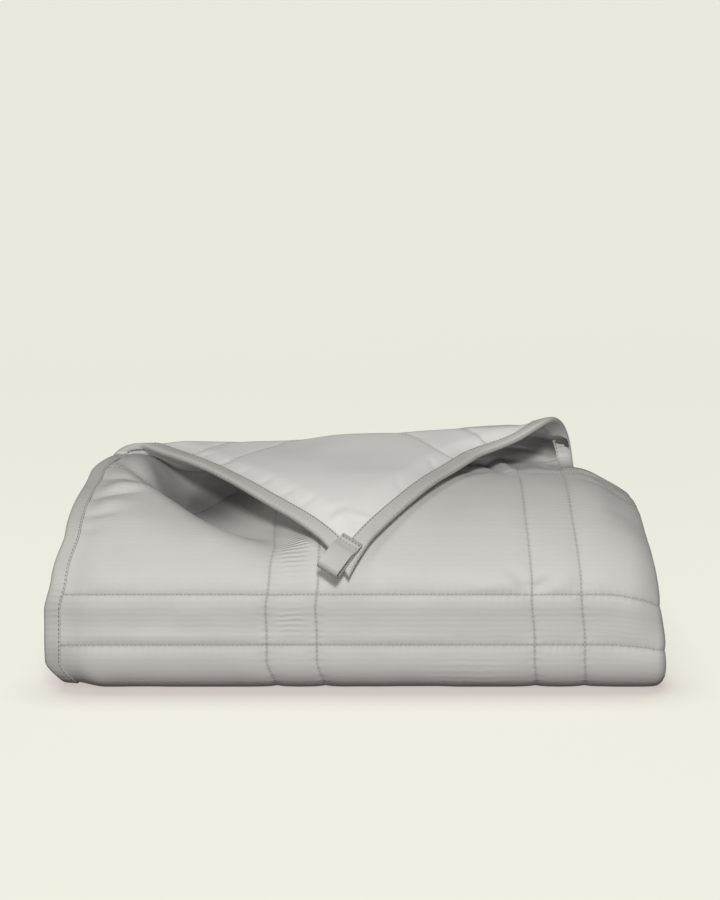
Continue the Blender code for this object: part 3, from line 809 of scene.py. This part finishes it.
print(len(SECTION), "points in the section,", len(rim), "places along the edge")


# %% Binding
def beside_rim(width, height):
    """Points that far in from the edge and that far off the sheet's middle."""
    share = (width - EDGE_INSET) / EDGE_ROW
    there = middle[within_of if share > 0 else outward_of]
    normal = unit(mix(normals[corner_of], normals[within_of], max(share, 0)))
    return on_rim + (there - on_rim) * share + normal * np.asarray(height)[..., None]


# The tape draws up slightly between its stitches, most of all near the middle of its side.
PUCKER_WAVE, PUCKER_HEIGHT = 6.1 * MM, 0.06 * MM
PUCKER_MIDDLE, PUCKER_REACH = 9 * MM, 7 * MM
uneven = 2 * np.sin(rim_run / (23 * MM))
pucker = np.sin(rim_run / PUCKER_WAVE * 2 * math.pi + uneven)
binding_rows = []
for w, s in SECTION:
    lean = pucker * PUCKER_HEIGHT * bell((w - PUCKER_MIDDLE) / PUCKER_REACH) * np.sign(s)
    binding_rows.append(beside_rim(w, s + lean))
per_ring = len(SECTION)
binding_points = np.stack(binding_rows, axis=1).reshape(-1, 3)
binding_flat = np.stack(
    (np.tile(SECTION[:, 0], len(rim)), np.repeat(rim_run, per_ring)), axis=-1
)
rings = np.arange(len(binding_points)).reshape(len(rim), per_ring)
binding_faces = []
for low, high in zip(rings, np.roll(rings, -1, axis=0)):
    binding_faces += strip(low, high, closed=True)
binding = make_mesh("binding_tape", binding_points, binding_faces, binding_flat)
print(f"the bound edge is {rim_run[-1]:.2f} m long")

# %% [markdown]
# ## The loop
#
# A short tape, doubled and sewn down at the corner, holds the blanket inside a cover.  It
# droops a little as it hangs, and its eye stays open.  A flat strip could be bent round with a
# modifier, but then its root wouldn't sit snugly on the binding.  So an outer and an inner
# outline are drawn from the side, and `loop_point` carries them into place.

# %% Loop outlines
LOOP_WIDTH, LOOP_LENGTH = 19 * MM, 36 * MM
LOOP_THICK, LOOP_EYE = 1.3 * MM, 7.6 * MM
LOOP_FLAT, LOOP_DROOP = 20 * MM, 60 * MM
# (distance from the root, height), in millimetres, up to where the eye's half ring begins
OUTER_START = [(0, 1.5), (4, 1.55), (8, 1.9), (11.5, 3.3)]
INNER_START = [(6, 0.15), (7.4, 0.2), (9, 0.6), (11.8, 1.9)]
EYE_START = 15 * MM
ROOT_INWARD, ROOT_LIFT, ROOT_ASIDE = 2 * MM, 7.3 * MM, 5 * MM
tip = index[0, 0]
within = index[2, 2]
face_up = -normals[within]
inward = unit(middle[within] - middle[tip])
root = middle[within] + inward * ROOT_INWARD + face_up * ROOT_LIFT
root = root + np.array((ROOT_ASIDE, 0, 0))
hang = np.array((-0.56, -0.46, -0.65))
hang = unit(hang - face_up * (hang @ face_up))
loop_width = np.cross(hang, face_up)


def loop_line(first, radius, count_round=22):
    """One outline of the doubled tape: along, round the eye and back underneath."""
    centre = LOOP_LENGTH - LOOP_EYE / 2 - LOOP_THICK
    line = [(a * MM, b * MM) for a, b in first] + [(EYE_START, radius)]
    straight = len(line)
    for n in range(count_round + 1):
        turn = math.pi * (0.5 - n / count_round)
        line.append((centre + radius * math.cos(turn), radius * math.sin(turn)))
    return line + [(a, -b) for a, b in reversed(line[:straight])]


def loop_point(a, b, across):
    """The place on the hanging loop of an outline's point, that far across the tape."""
    bend = max(a - LOOP_FLAT, 0) / LOOP_DROOP
    reach = min(a, LOOP_FLAT) + (LOOP_DROOP + b) * math.sin(bend)
    rise = (LOOP_DROOP + b) * math.cos(bend) - LOOP_DROOP - 1.6 * MM * (1 - ramp(0, 14 * MM, a))
    return root + hang * reach + face_up * rise + loop_width * across


outer_line = loop_line(OUTER_START, LOOP_EYE / 2 + LOOP_THICK)
inner_line = loop_line(INNER_START, LOOP_EYE / 2)
around = len(outer_line)
print("the loop hangs from", np.round(root, 3), "with", around, "points round it")

# %% Loop
# The tape's two selvedges are a little thinner than the rest.
ACROSS, THINNER, LOOP_STEP = [-0.5, -0.47, -0.25, 0, 0.25, 0.47, 0.5], 0.3 * MM, 1.6 * MM
loop_points, loop_flat = [], []
for outline, sign in ((outer_line, -1), (inner_line, 1)):
    for share in ACROSS:
        pull = THINNER * sign if abs(share) == 0.5 else 0
        for n, (a, b) in enumerate(outline):
            loop_points.append(loop_point(a, b + math.copysign(pull, b), share * LOOP_WIDTH))
            loop_flat.append((share * LOOP_WIDTH, n * LOOP_STEP))
outer_rings, inner_rings = np.arange(len(loop_points)).reshape(2, len(ACROSS), around)
loop_faces = []
for n in range(1, len(ACROSS)):
    loop_faces += strip(outer_rings[n], outer_rings[n - 1], closed=True)
    loop_faces += strip(inner_rings[n - 1], inner_rings[n], closed=True)
loop_faces += strip(outer_rings[0], inner_rings[0], closed=True)
loop_faces += strip(inner_rings[-1], outer_rings[-1], closed=True)
loop = make_mesh("loop_tape", np.array(loop_points), loop_faces, np.array(loop_flat))

# %% [markdown]
# ## Stitches
#
# Real thread goes in and out of the cloth, so a seam is a row of short raised stitches.  They
# could be painted on, but would then cast no shade, and placing each by hand would take
# thousands of steps.  So they are laid with Geometry Nodes: a thread line becomes evenly spaced
# points, and each point gets one short, round stitch turned along the line.  `add_node` builds
# this tree, and later the materials too.

# %% Adding nodes
def put(tree, socket, value):
    """Link a socket to another one, or set it to a plain value."""
    value = getattr(value, "socket", value)
    if isinstance(value, bpy.types.NodeSocket):
        tree.links.new(value, socket)
    else:
        socket.default_value = value


def add_node(tree, kind, values=(), **settings):
    """A new node: its settings are made first, then its sockets are linked or set."""
    made = tree.nodes.new(kind)
    for key, value in settings.items():
        setattr(made, key, value)
    for key, value in dict(values).items():
        put(tree, made.inputs[key], value)
    return made


print("nodes are added by", add_node.__name__)


# %% Stitch tree
def stitch_tree():
    """Lines in, stitches out."""
    tree = bpy.data.node_groups.new("stitches_along_lines", "GeometryNodeTree")
    face = tree.interface
    face.new_socket("Geometry", in_out="INPUT", socket_type="NodeSocketGeometry")
    for name, default in (("Pitch", 3.4 * MM), ("Length", 2.5 * MM), ("Thickness", 0.6 * MM)):
        face.new_socket(name, in_out="INPUT", socket_type="NodeSocketFloat").default_value = default
    face.new_socket("Thread", in_out="INPUT", socket_type="NodeSocketMaterial")
    face.new_socket("Geometry", in_out="OUTPUT", socket_type="NodeSocketGeometry")

    def node(kind, values=(), **settings):
        return add_node(tree, kind, values, **settings)

    given = node("NodeGroupInput").outputs
    to_curve = node("GeometryNodeMeshToCurve", {"Mesh": given["Geometry"]})
    even = node(
        "GeometryNodeResampleCurve", {"Curve": to_curve.outputs[0], "Length": given["Pitch"]},
        mode="LENGTH",
    )
    tangent = node("GeometryNodeInputTangent")
    turned = node("FunctionNodeAlignRotationToVector", {"Vector": tangent.outputs[0]}, axis="X")
    sway = node(
        "FunctionNodeRandomValue",
        {"Min": (0.0, -0.05, -0.07), "Max": (0.0, 0.05, 0.07), "Seed": 7},
        data_type="FLOAT_VECTOR",
    )
    swayed = node(
        "FunctionNodeRotateRotation",
        {"Rotation": turned.outputs[0], "Rotate By": sway.outputs[0]},
        rotation_space="LOCAL",
    )
    half_length = node("ShaderNodeMath", {0: given["Length"], 1: 0.5}, operation="MULTIPLY")
    half_thick = node("ShaderNodeMath", {0: given["Thickness"], 1: 0.5}, operation="MULTIPLY")
    scale = node(
        "ShaderNodeCombineXYZ",
        {"X": half_length.outputs[0], "Y": half_thick.outputs[0], "Z": half_thick.outputs[0]},
    )
    thread = node("GeometryNodeMeshUVSphere", {"Segments": 6, "Rings": 4, "Radius": 1.0})
    laid = node(
        "GeometryNodeInstanceOnPoints",
        {
            "Points": even.outputs[0],
            "Instance": thread.outputs[0],
            "Rotation": swayed.outputs[0],
            "Scale": scale.outputs[0],
        },
    )
    real = node("GeometryNodeRealizeInstances", {"Geometry": laid.outputs[0]})
    smooth = node("GeometryNodeSetShadeSmooth", {"Geometry": real.outputs[0], "Shade Smooth": True})
    painted = node(
        "GeometryNodeSetMaterial",
        {"Geometry": smooth.outputs[0], "Material": given["Thread"]},
    )
    node("NodeGroupOutput", {"Geometry": painted.outputs[0]})
    return tree


STITCHES = stitch_tree()
print("stitch tree inputs:", [item.name for item in STITCHES.interface.items_tree])

# %% [markdown]
# ## Laying stitches
#
# The tree works on a guide object made of the lines alone.  What it makes is kept as a plain
# mesh and the guide is thrown away, so the finished piece needs no modifier.

# %% Laying stitches
FACES_PER_STITCH = 24


def lay_stitches(name, lines, material, **sizes):
    """A mesh object of stitches along lines of points."""
    places, edges = [], []
    for one in lines:
        first = len(places)
        places += [tuple(p) for p in np.asarray(one) - np.array((0, CENTRE_Y, 0))]
        edges += [(n, n + 1) for n in range(first, len(places) - 1)]
    guide = bpy.data.meshes.new(name + "_guide")
    guide.from_pydata(places, edges, [])
    holder = bpy.data.objects.new(name + "_guide", guide)
    bpy.context.scene.collection.objects.link(holder)
    modifier = holder.modifiers.new("stitches", "NODES")
    modifier.node_group = STITCHES
    named = {
        item.name: item.identifier
        for item in STITCHES.interface.items_tree
        if item.in_out == "INPUT"
    }
    for key, value in {"Thread": material, **sizes}.items():
        modifier[named[key]] = value
    bpy.context.view_layer.update()
    graph = bpy.context.evaluated_depsgraph_get()
    mesh = bpy.data.meshes.new_from_object(holder.evaluated_get(graph))
    bpy.data.objects.remove(holder)
    obj = bpy.data.objects.new(name, mesh)
    bpy.context.scene.collection.objects.link(obj)
    stitch_count = len(mesh.polygons) // FACES_PER_STITCH
    print(name, "has", stitch_count, "stitches in", len(lines), "lines")
    return obj


print("stitches are laid by the tree", STITCHES.name)

# %% [markdown]
# ## Shader arithmetic
#
# A woven surface is made of waves and noise, which would take dozens of separately joined
# nodes.  `Paint` adds nodes to a material, and `Wire` is one of their outputs.  Wires add,
# subtract and multiply like numbers, so a pattern reads like a formula.

# %% Wire
class Wire:
    """One output of a node, used like a number."""

    def __init__(self, paint, socket):
        self.paint, self.socket = paint, socket

    def _math(self, kind, *others):
        return self.paint.math(kind, self, *others)

    def __add__(self, other):
        return self._math("ADD", other)

    def __sub__(self, other):
        return self._math("SUBTRACT", other)

    def __rsub__(self, other):
        return self.paint.math("SUBTRACT", other, self)

    def __mul__(self, other):
        return self._math("MULTIPLY", other)

    def __truediv__(self, other):
        return self._math("DIVIDE", other)

    def __neg__(self):
        return self._math("MULTIPLY", -1.0)

    __radd__, __rmul__ = __add__, __mul__

    def sine(self):
        return self._math("SINE")

    def fade(self, reach):
        """1 at zero and falling away over that distance."""
        return (-(self / reach))._math("EXPONENT")


print("a wire also has:", [name for name in vars(Wire) if not name.startswith("_")])


# %% Paint
class Paint:
    """A material that is being put together."""

    def __init__(self, name):
        self.material = bpy.data.materials.new(name)
        self.material.use_nodes = True
        self.tree = self.material.node_tree
        self.shader = self.tree.nodes["Principled BSDF"]

    def node(self, kind, values=(), **settings):
        return add_node(self.tree, kind, values, **settings)

    def math(self, kind, *values):
        made = self.node("ShaderNodeMath", dict(enumerate(values)), operation=kind)
        return Wire(self, made.outputs[0])

    def place(self):
        """The place on the flat cloth, then its two distances one by one."""
        where = Wire(self, self.node("ShaderNodeUVMap", uv_map="cloth").outputs[0])
        split = self.node("ShaderNodeSeparateXYZ", {"Vector": where})
        return where, Wire(self, split.outputs[0]), Wire(self, split.outputs[1])

    def measured(self, name):
        """A number that the mesh carries at each point."""
        return Wire(self, self.node("ShaderNodeAttribute", attribute_name=name).outputs["Fac"])

    def noise(self, where, scale, detail=2.0, stretch=(1, 1, 1)):
        drawn = self.node("ShaderNodeVectorMath", {0: where, 1: stretch}, operation="MULTIPLY")
        made = self.node(
            "ShaderNodeTexNoise",
            {"Vector": Wire(self, drawn.outputs[0]), "Scale": scale, "Detail": detail},
        )
        return Wire(self, made.outputs[0])

    def blend(self, share, low, high):
        """The low colour at 0, the high one at 1."""
        made = self.node("ShaderNodeMix", {0: share, 6: low, 7: high}, data_type="RGBA")
        return Wire(self, made.outputs[2])

    def finish(self, colour, roughness, height, **constants):
        """height is the relief in metres."""
        bump = self.node("ShaderNodeBump", {"Strength": 1.0, "Distance": 1.0, "Height": height})
        put(self.tree, self.shader.inputs["Base Color"], colour)
        put(self.tree, self.shader.inputs["Roughness"], roughness)
        put(self.tree, self.shader.inputs["Normal"], bump.outputs[0])
        for name, value in constants.items():
            put(self.tree, self.shader.inputs[name.replace("_", " ")], value)
        return self.material


print("paint can use:", [name for name in vars(Paint) if not name.startswith("_")])


# %% Seams and waves
def seam_wire(paint, place, first):
    """The distance to the nearest seam of the pattern."""
    along = paint.math("FLOORED_MODULO", place - first, PATTERN)
    ends = paint.math("MINIMUM", along, PATTERN - along)
    return paint.math("MINIMUM", ends, paint.math("ABSOLUTE", along - CHANNEL))


def waves(along, length, drift=None):
    """Even waves of that length, or waves that drift to and fro."""
    turn = along * (2 * math.pi / length)
    return (turn if drift is None else turn + drift).sine()


print("seams repeat every", PATTERN, "m, with a channel of", CHANNEL, "m")

# %% [markdown]
# ## Sateen
#
# The sateen is a warm grey with a soft sheen, and its long threads run across the cloth.  The
# inside is paler than the outside.  Along each seam the stitches draw the cloth into fine
# puckers, and the shade in each seam's crease is painted in as a dark line.  Cloth deep under
# the turned corner is painted darker as shade.  Some channels are rippled all over.  An image
# of cloth could be laid on, but it would repeat and blur.  Here all of it is worked out from the
# two distances on the flat cloth, so it stays sharp and follows every fold.

# %% Sateen
OUTSIDE = (0.455, 0.437, 0.418, 1), (0.505, 0.488, 0.470, 1)
INSIDE = (0.585, 0.572, 0.555, 1), (0.635, 0.622, 0.605, 1)
# Painted shade: the dark line in each seam's crease, on the outside and on the inside.
SEAM_SHADE_OUTSIDE, SEAM_SHADE_INSIDE = (0.12, 0.115, 0.11, 1), (0.2, 0.195, 0.19, 1)
# Painted shade: the near-black colour of cloth deep under the turned corner.
PAINTED_SHADE_COLOUR = (0.05, 0.048, 0.046, 1)
CLOTH_SHEEN = {"Sheen_Weight": 0.12, "Sheen_Roughness": 0.4, "Specular_IOR_Level": 0.45}


def sateen_height(paint, where, u, v, to_u, to_v):
    """Puckers at the seams, ripples, the stitches' furrow, threads and slubs, in metres."""
    drift = paint.noise(where, 55.0, 2.0) * 7.0
    gather = paint.noise(where, 30.0, 1.0)
    across_v = waves(u, 6.3 * MM, drift) * to_v.fade(3.5 * MM)
    across_u = waves(v, 6.1 * MM, drift) * to_u.fade(4 * MM)
    pucker = (across_v + across_u) * gather * (0.2 * MM)
    ripple = waves(v, 4.6 * MM, drift * 0.6) * paint.measured("ripple") * (0.3 * MM)
    furrow = (to_u.fade(0.9 * MM) + to_v.fade(0.9 * MM)) * (-0.35 * MM)
    threads = waves(v, 0.42 * MM) * waves(u, 1.9 * MM) * (0.004 * MM)
    slub = paint.noise(where, 900.0, 1.0, (0.12, 1, 1)) * (0.022 * MM)
    return pucker + ripple + furrow + threads + slub


def sateen():
    paint = Paint("grey_sateen")
    where, u, v = paint.place()
    near = paint.math("MINIMUM", u, FLAT_WIDTH - u)
    to_u, to_v = seam_wire(paint, near, FIRST_SEAM), seam_wire(paint, v, -CHANNEL)
    height = sateen_height(paint, where, u, v, to_u, to_v)
    patches, streaks = paint.noise(where, 14.0, 3.0), paint.noise(where, 700.0, 1.0, (0.15, 1, 1))
    shade = patches * 0.6 + streaks * 0.4
    # Painted shade: a narrow dark line along each seam's crease.
    seam_shade = (to_u.fade(0.7 * MM) + to_v.fade(0.7 * MM)) * 0.55
    colour = paint.blend(seam_shade, paint.blend(shade, *OUTSIDE), SEAM_SHADE_OUTSIDE)
    paler = paint.blend(seam_shade, paint.blend(shade, *INSIDE), SEAM_SHADE_INSIDE)
    colour = paint.blend(paint.measured("reverse_side"), colour, paler)
    # Painted shade: cloth deep under the turned corner is blended towards a near-black colour.
    colour = paint.blend(paint.measured("tucked") * 0.92, colour, PAINTED_SHADE_COLOUR)
    rough = paint.noise(where, 40.0, 2.0) * 0.1 + 0.5
    return paint.finish(colour, rough, height, **CLOTH_SHEEN)


SATEEN = sateen()
quilt.data.materials.append(SATEEN)
print("sateen nodes:", len(SATEEN.node_tree.nodes))

# %% [markdown]
# ## Tape
#
# The binding and the loop are of a tighter, slightly darker weave.  It is puckered all along by
# its stitches, and uses the same waves and noise at other sizes.

# %% Tape
TAPE_GREY = (0.400, 0.385, 0.366, 1), (0.455, 0.440, 0.422, 1)


def tape():
    paint = Paint("grey_tape")
    where, w, along = paint.place()
    drift = paint.noise(where, 60.0, 2.0) * 5.0
    gather = paint.noise(where, 34.0, 1.0) - 0.3
    pucker = waves(along, 5.2 * MM, drift) * gather * (0.2 * MM)
    threads = waves(along, 0.5 * MM) * waves(w, 0.9 * MM) * (0.006 * MM)
    slub = paint.noise(where, 800.0, 1.0, (1, 0.15, 1)) * (0.03 * MM)
    colour = paint.blend(paint.noise(where, 25.0, 3.0), *TAPE_GREY)
    rough = paint.noise(where, 60.0, 2.0) * 0.1 + 0.45
    return paint.finish(colour, rough, pucker + threads + slub, **CLOTH_SHEEN)


TAPE = tape()
binding.data.materials.append(TAPE)
loop.data.materials.append(TAPE)
print("tape nodes:", len(TAPE.node_tree.nodes))

# %% [markdown]
# ## Thread
#
# Sewing thread is twisted, so each stitch is uneven in shade and slightly rough.  The quilting
# thread is paler than the cloth, and the thread at the edge is much darker.

# %% Thread
def thread(name, colour):
    paint = Paint(name)
    where = Wire(paint, paint.node("ShaderNodeTexCoord").outputs["Object"])
    shade = paint.noise(where, 1500.0, 2.0)
    darker = tuple(0.8 * c for c in colour)
    twist = paint.noise(where, 2600.0, 1.0) * (0.05 * MM)
    return paint.finish(
        paint.blend(shade, (*darker, 1), (*colour, 1)), shade * 0.1 + 0.5, twist,
        Sheen_Weight=0.2, Sheen_Roughness=0.4,
    )


QUILT_THREAD = thread("quilting_thread", (0.56, 0.545, 0.52))
EDGE_THREAD = thread("edge_thread", (0.10, 0.095, 0.09))
print("materials:", [material.name for material in bpy.data.materials])

# %% [markdown]
# ## Quilting stitches
#
# Two kinds of seam cross on the cloth: those that run along it and those from side to side.
# Every seam could be sewn from end to end, but most of the cloth is hidden inside the stack, so
# stitches are laid only where they show: on the front, the turned corner and the outer layers,
# and a little way past the fold at the right.  Each line is the row of mesh points on that
# seam, sunk a little, so that the thread sits in the cloth.

# %% Quilting stitches
THREAD_SINK = 0.05 * MM
SHOWN_RUNS = ([3], [8], [BOTTOM, FRONT_LOW, FRONT_UP, TOP])
ON_SEAM, DEEP = 0.3 * MM, 0.3
PAST_FOLD, EDGE_COLUMNS, HIDDEN_GAP = 440 * MM, 3, 20
outer_line_points = middle + normals * (half + outer_relief - THREAD_SINK)[:, None]
inner_line_points = middle - normals * (half + inner_relief - THREAD_SINK)[:, None]
seam_columns = [n for n in range(columns) if to_u_seam[n] < ON_SEAM and not is_turn[n]]
quilt_lines = []
for column in seam_columns:
    for curves in SHOWN_RUNS:
        rows = [r for r, row in enumerate(ROWS) if row[0] in curves]
        quilt_lines.append(outer_line_points[[grid[r][column] for r in rows]])
    if is_under[column]:
        rows = [r for r, row in enumerate(ROWS) if row[0] == TOP][:-2]
        quilt_lines.append(inner_line_points[[grid[r][column] for r in rows]])
for seam_row in SEAM_ROWS:
    row = grid[ROWS.index(seam_row)]
    past_edge = range(EDGE_COLUMNS, columns)
    shown = [n for n in past_edge if not is_under[n] or distance[n] > PAST_FOLD]
    # No stitches where the cloth is painted in deep shade under the turned corner.
    shown = np.array([n for n in shown if tucked[row[n]] < DEEP])
    for part in np.split(shown, np.flatnonzero(np.diff(shown) > HIDDEN_GAP) + 1):
        quilt_lines.append(outer_line_points[row[part]])
for stop in FLAP_SEAMS:
    p = int(np.argmin(np.abs(STOPS - stop * MM)))
    quilt_lines.append(inner_line_points[[index[p, q] for q in range(2, LAST - p + 1)]])
    quilt_lines.append(inner_line_points[[index[q, p] for q in range(2, LAST - p + 1)]])
quilt_stitches = lay_stitches("quilting_stitches", quilt_lines, QUILT_THREAD)

# %% [markdown]
# ## Binding stitches
#
# One row runs round the whole edge close to the tape's lip, on both of its sides, as a machine
# sews through tape and cloth at once.  Each row is closed by repeating its first point.

# %% Binding stitches
SEWN_IN, SEWN_HEIGHT = 12.0 * MM, 2.87 * MM
edge_lines = [beside_rim(SEWN_IN, np.full(len(rim), side * SEWN_HEIGHT)) for side in (-1, 1)]
edge_lines = [np.concatenate((one, one[:1])) for one in edge_lines]
edge_stitches = lay_stitches("binding_stitches", edge_lines, EDGE_THREAD)

# %% [markdown]
# ## Loop stitches
#
# The loop's root is held by a small sewn box, two short rows across the tape and two along it.

# %% Loop stitches
BOX_ENDS, BOX_SIDES, BOX_HEIGHT = (2.2 * MM, 6.4 * MM), (-0.4, 0.4), 1.62 * MM
box = [[loop_point(a, BOX_HEIGHT, side * LOOP_WIDTH) for side in BOX_SIDES] for a in BOX_ENDS]
box += [list(pair) for pair in zip(*box)]
loop_stitches = lay_stitches(
    "loop_stitches", box, EDGE_THREAD, Pitch=2.8 * MM, Length=2.2 * MM
)

# %% [markdown]
# ## Floor
#
# The blanket lies on a pale sheet that sweeps up behind it.  A lit floor would show the edges
# of the lamps, so this one mostly glows with its own even colour, and only a thin matt part
# takes light.  It darkens where something stands close above it, which gives a soft contact
# shadow.

# %% Floor
FLOOR_FRONT, FLOOR_BACK, FLOOR_TOP, FLOOR_SIDE = -4.0, 1.6, 5.0, 5
SWEEP_RADIUS, SWEEP_STEPS, FLOOR_BELOW = 1.2, 12, 0.0004


def sweep_floor():
    """A flat floor that turns up into a wall."""
    profile = [(FLOOR_FRONT, 0.0), (FLOOR_BACK, 0.0)]
    for n in range(1, SWEEP_STEPS + 1):
        turn = math.radians(90 * n / SWEEP_STEPS)
        out, up = SWEEP_RADIUS * math.sin(turn), SWEEP_RADIUS - SWEEP_RADIUS * math.cos(turn)
        profile.append((FLOOR_BACK + out, up))
    profile.append((FLOOR_BACK + SWEEP_RADIUS, FLOOR_TOP))
    sides = (-FLOOR_SIDE, FLOOR_SIDE)
    places = [(x, y + CENTRE_Y, z - FLOOR_BELOW) for x in sides for y, z in profile]
    left, right = np.arange(len(places)).reshape(2, len(profile))
    return make_mesh("floor", places, strip(right, left))


floor = sweep_floor()

# %% Floor material
CONTACT_REACH = 0.05
CONTACT_COLOUR, FLOOR_COLOUR = (0.60, 0.545, 0.515, 1), (0.855, 0.839, 0.745, 1)
paint = Paint("pale_floor")
near = paint.node("ShaderNodeAmbientOcclusion", {"Distance": CONTACT_REACH}, samples=8)
shade = (Wire(paint, near.outputs["AO"]) - 0.5) * 2.0
pale = paint.blend(shade, CONTACT_COLOUR, FLOOR_COLOUR)
glow = paint.node("ShaderNodeEmission", {"Color": pale, "Strength": 0.93})
matt = paint.node("ShaderNodeBsdfDiffuse", {"Color": (0.09, 0.088, 0.08, 1)})
both = paint.node("ShaderNodeAddShader", {0: glow.outputs[0], 1: matt.outputs[0]})
put(paint.tree, paint.tree.nodes["Material Output"].inputs[0], both.outputs[0])
floor.data.materials.append(paint.material)
floor.visible_diffuse = False
floor.visible_glossy = False
print("the floor's material is", paint.material.name)

# %% [markdown]
# ## Lights
#
# Three soft lights: the main one stands high in front, a weaker one low in front lifts the
# shade under the corner, and the weakest hangs above and to the left.  A faint even glow fills
# in the rest.  Each light is placed by its spot and the spot it looks at.

# %% Lights
def soft_light(name, place, aim, size, power, tint=(1, 0.985, 0.975)):
    """A rectangular lamp; sizes are in metres and power is in watts."""
    lamp = bpy.data.lights.new(name, "AREA")
    lamp.shape, lamp.size, lamp.size_y = "RECTANGLE", size[0], size[1]
    lamp.energy, lamp.color = power, tint
    obj = bpy.data.objects.new(name, lamp)
    obj.location = place
    obj.rotation_euler = (Vector(aim) - Vector(place)).to_track_quat("-Z", "Y").to_euler()
    bpy.context.scene.collection.objects.link(obj)
    return obj


soft_light("key_light", (0.1, -2.3, 1.85), (0, 0, 0.08), (0.6, 0.5), 60)
soft_light("front_light", (-0.2, -3.0, 0.5), (0, 0, 0.08), (0.7, 0.6), 30)
soft_light("top_light", (-0.7, -0.1, 2.5), (-0.1, 0, 0.1), (0.8, 0.7), 14)
world = bpy.data.worlds.new("studio")
bpy.context.scene.world = world
world.use_nodes = True
background = world.node_tree.nodes["Background"]
background.inputs["Color"].default_value = (0.9, 0.88, 0.85, 1)
background.inputs["Strength"].default_value = 0.02
print("lights:", {lamp.name: lamp.energy for lamp in bpy.data.lights})

# %% [markdown]
# ## Camera
#
# The camera stands about a metre and a half away and looks slightly down.  Its lens is worked
# out from its focal length and the height of its frame, both in pixels.

# %% Camera
SENSOR, FOCAL_PIXELS, FRAME_PIXELS = 36, 1913, 900
EYE_X, EYE_Y, EYE_Z, LOOK_DOWN = 0.0033, -1.4914, 0.4683, 10.2
camera = bpy.data.objects.new("camera", bpy.data.cameras.new("camera"))
camera.data.sensor_width = SENSOR
camera.data.lens = SENSOR * FOCAL_PIXELS / FRAME_PIXELS
camera.location = (EYE_X, EYE_Y - CENTRE_Y, EYE_Z)
camera.rotation_euler = (math.radians(90 - LOOK_DOWN), 0, 0)
bpy.context.scene.collection.objects.link(camera)
bpy.context.scene.camera = camera
bpy.context.scene.view_settings.view_transform = "Standard"
print("camera at", [round(v, 3) for v in camera.location], "lens", round(camera.data.lens, 1))

# %% [markdown]
# ## Handing the pieces over
#
# Each piece is hung from the root body, and the plain model's pieces are hidden.

# %% Hanging the pieces
for piece, slot in (
    (quilt, "sateen"), (quilt_stitches, "sateen"), (binding, "tape"),
    (edge_stitches, "tape"), (loop, "tape"), (loop_stitches, "tape"),
):
    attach(piece, "root")
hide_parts("quilted_blanket")
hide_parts("edge_binding")
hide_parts("corner_loop")

# %% [markdown]
# ## Finish
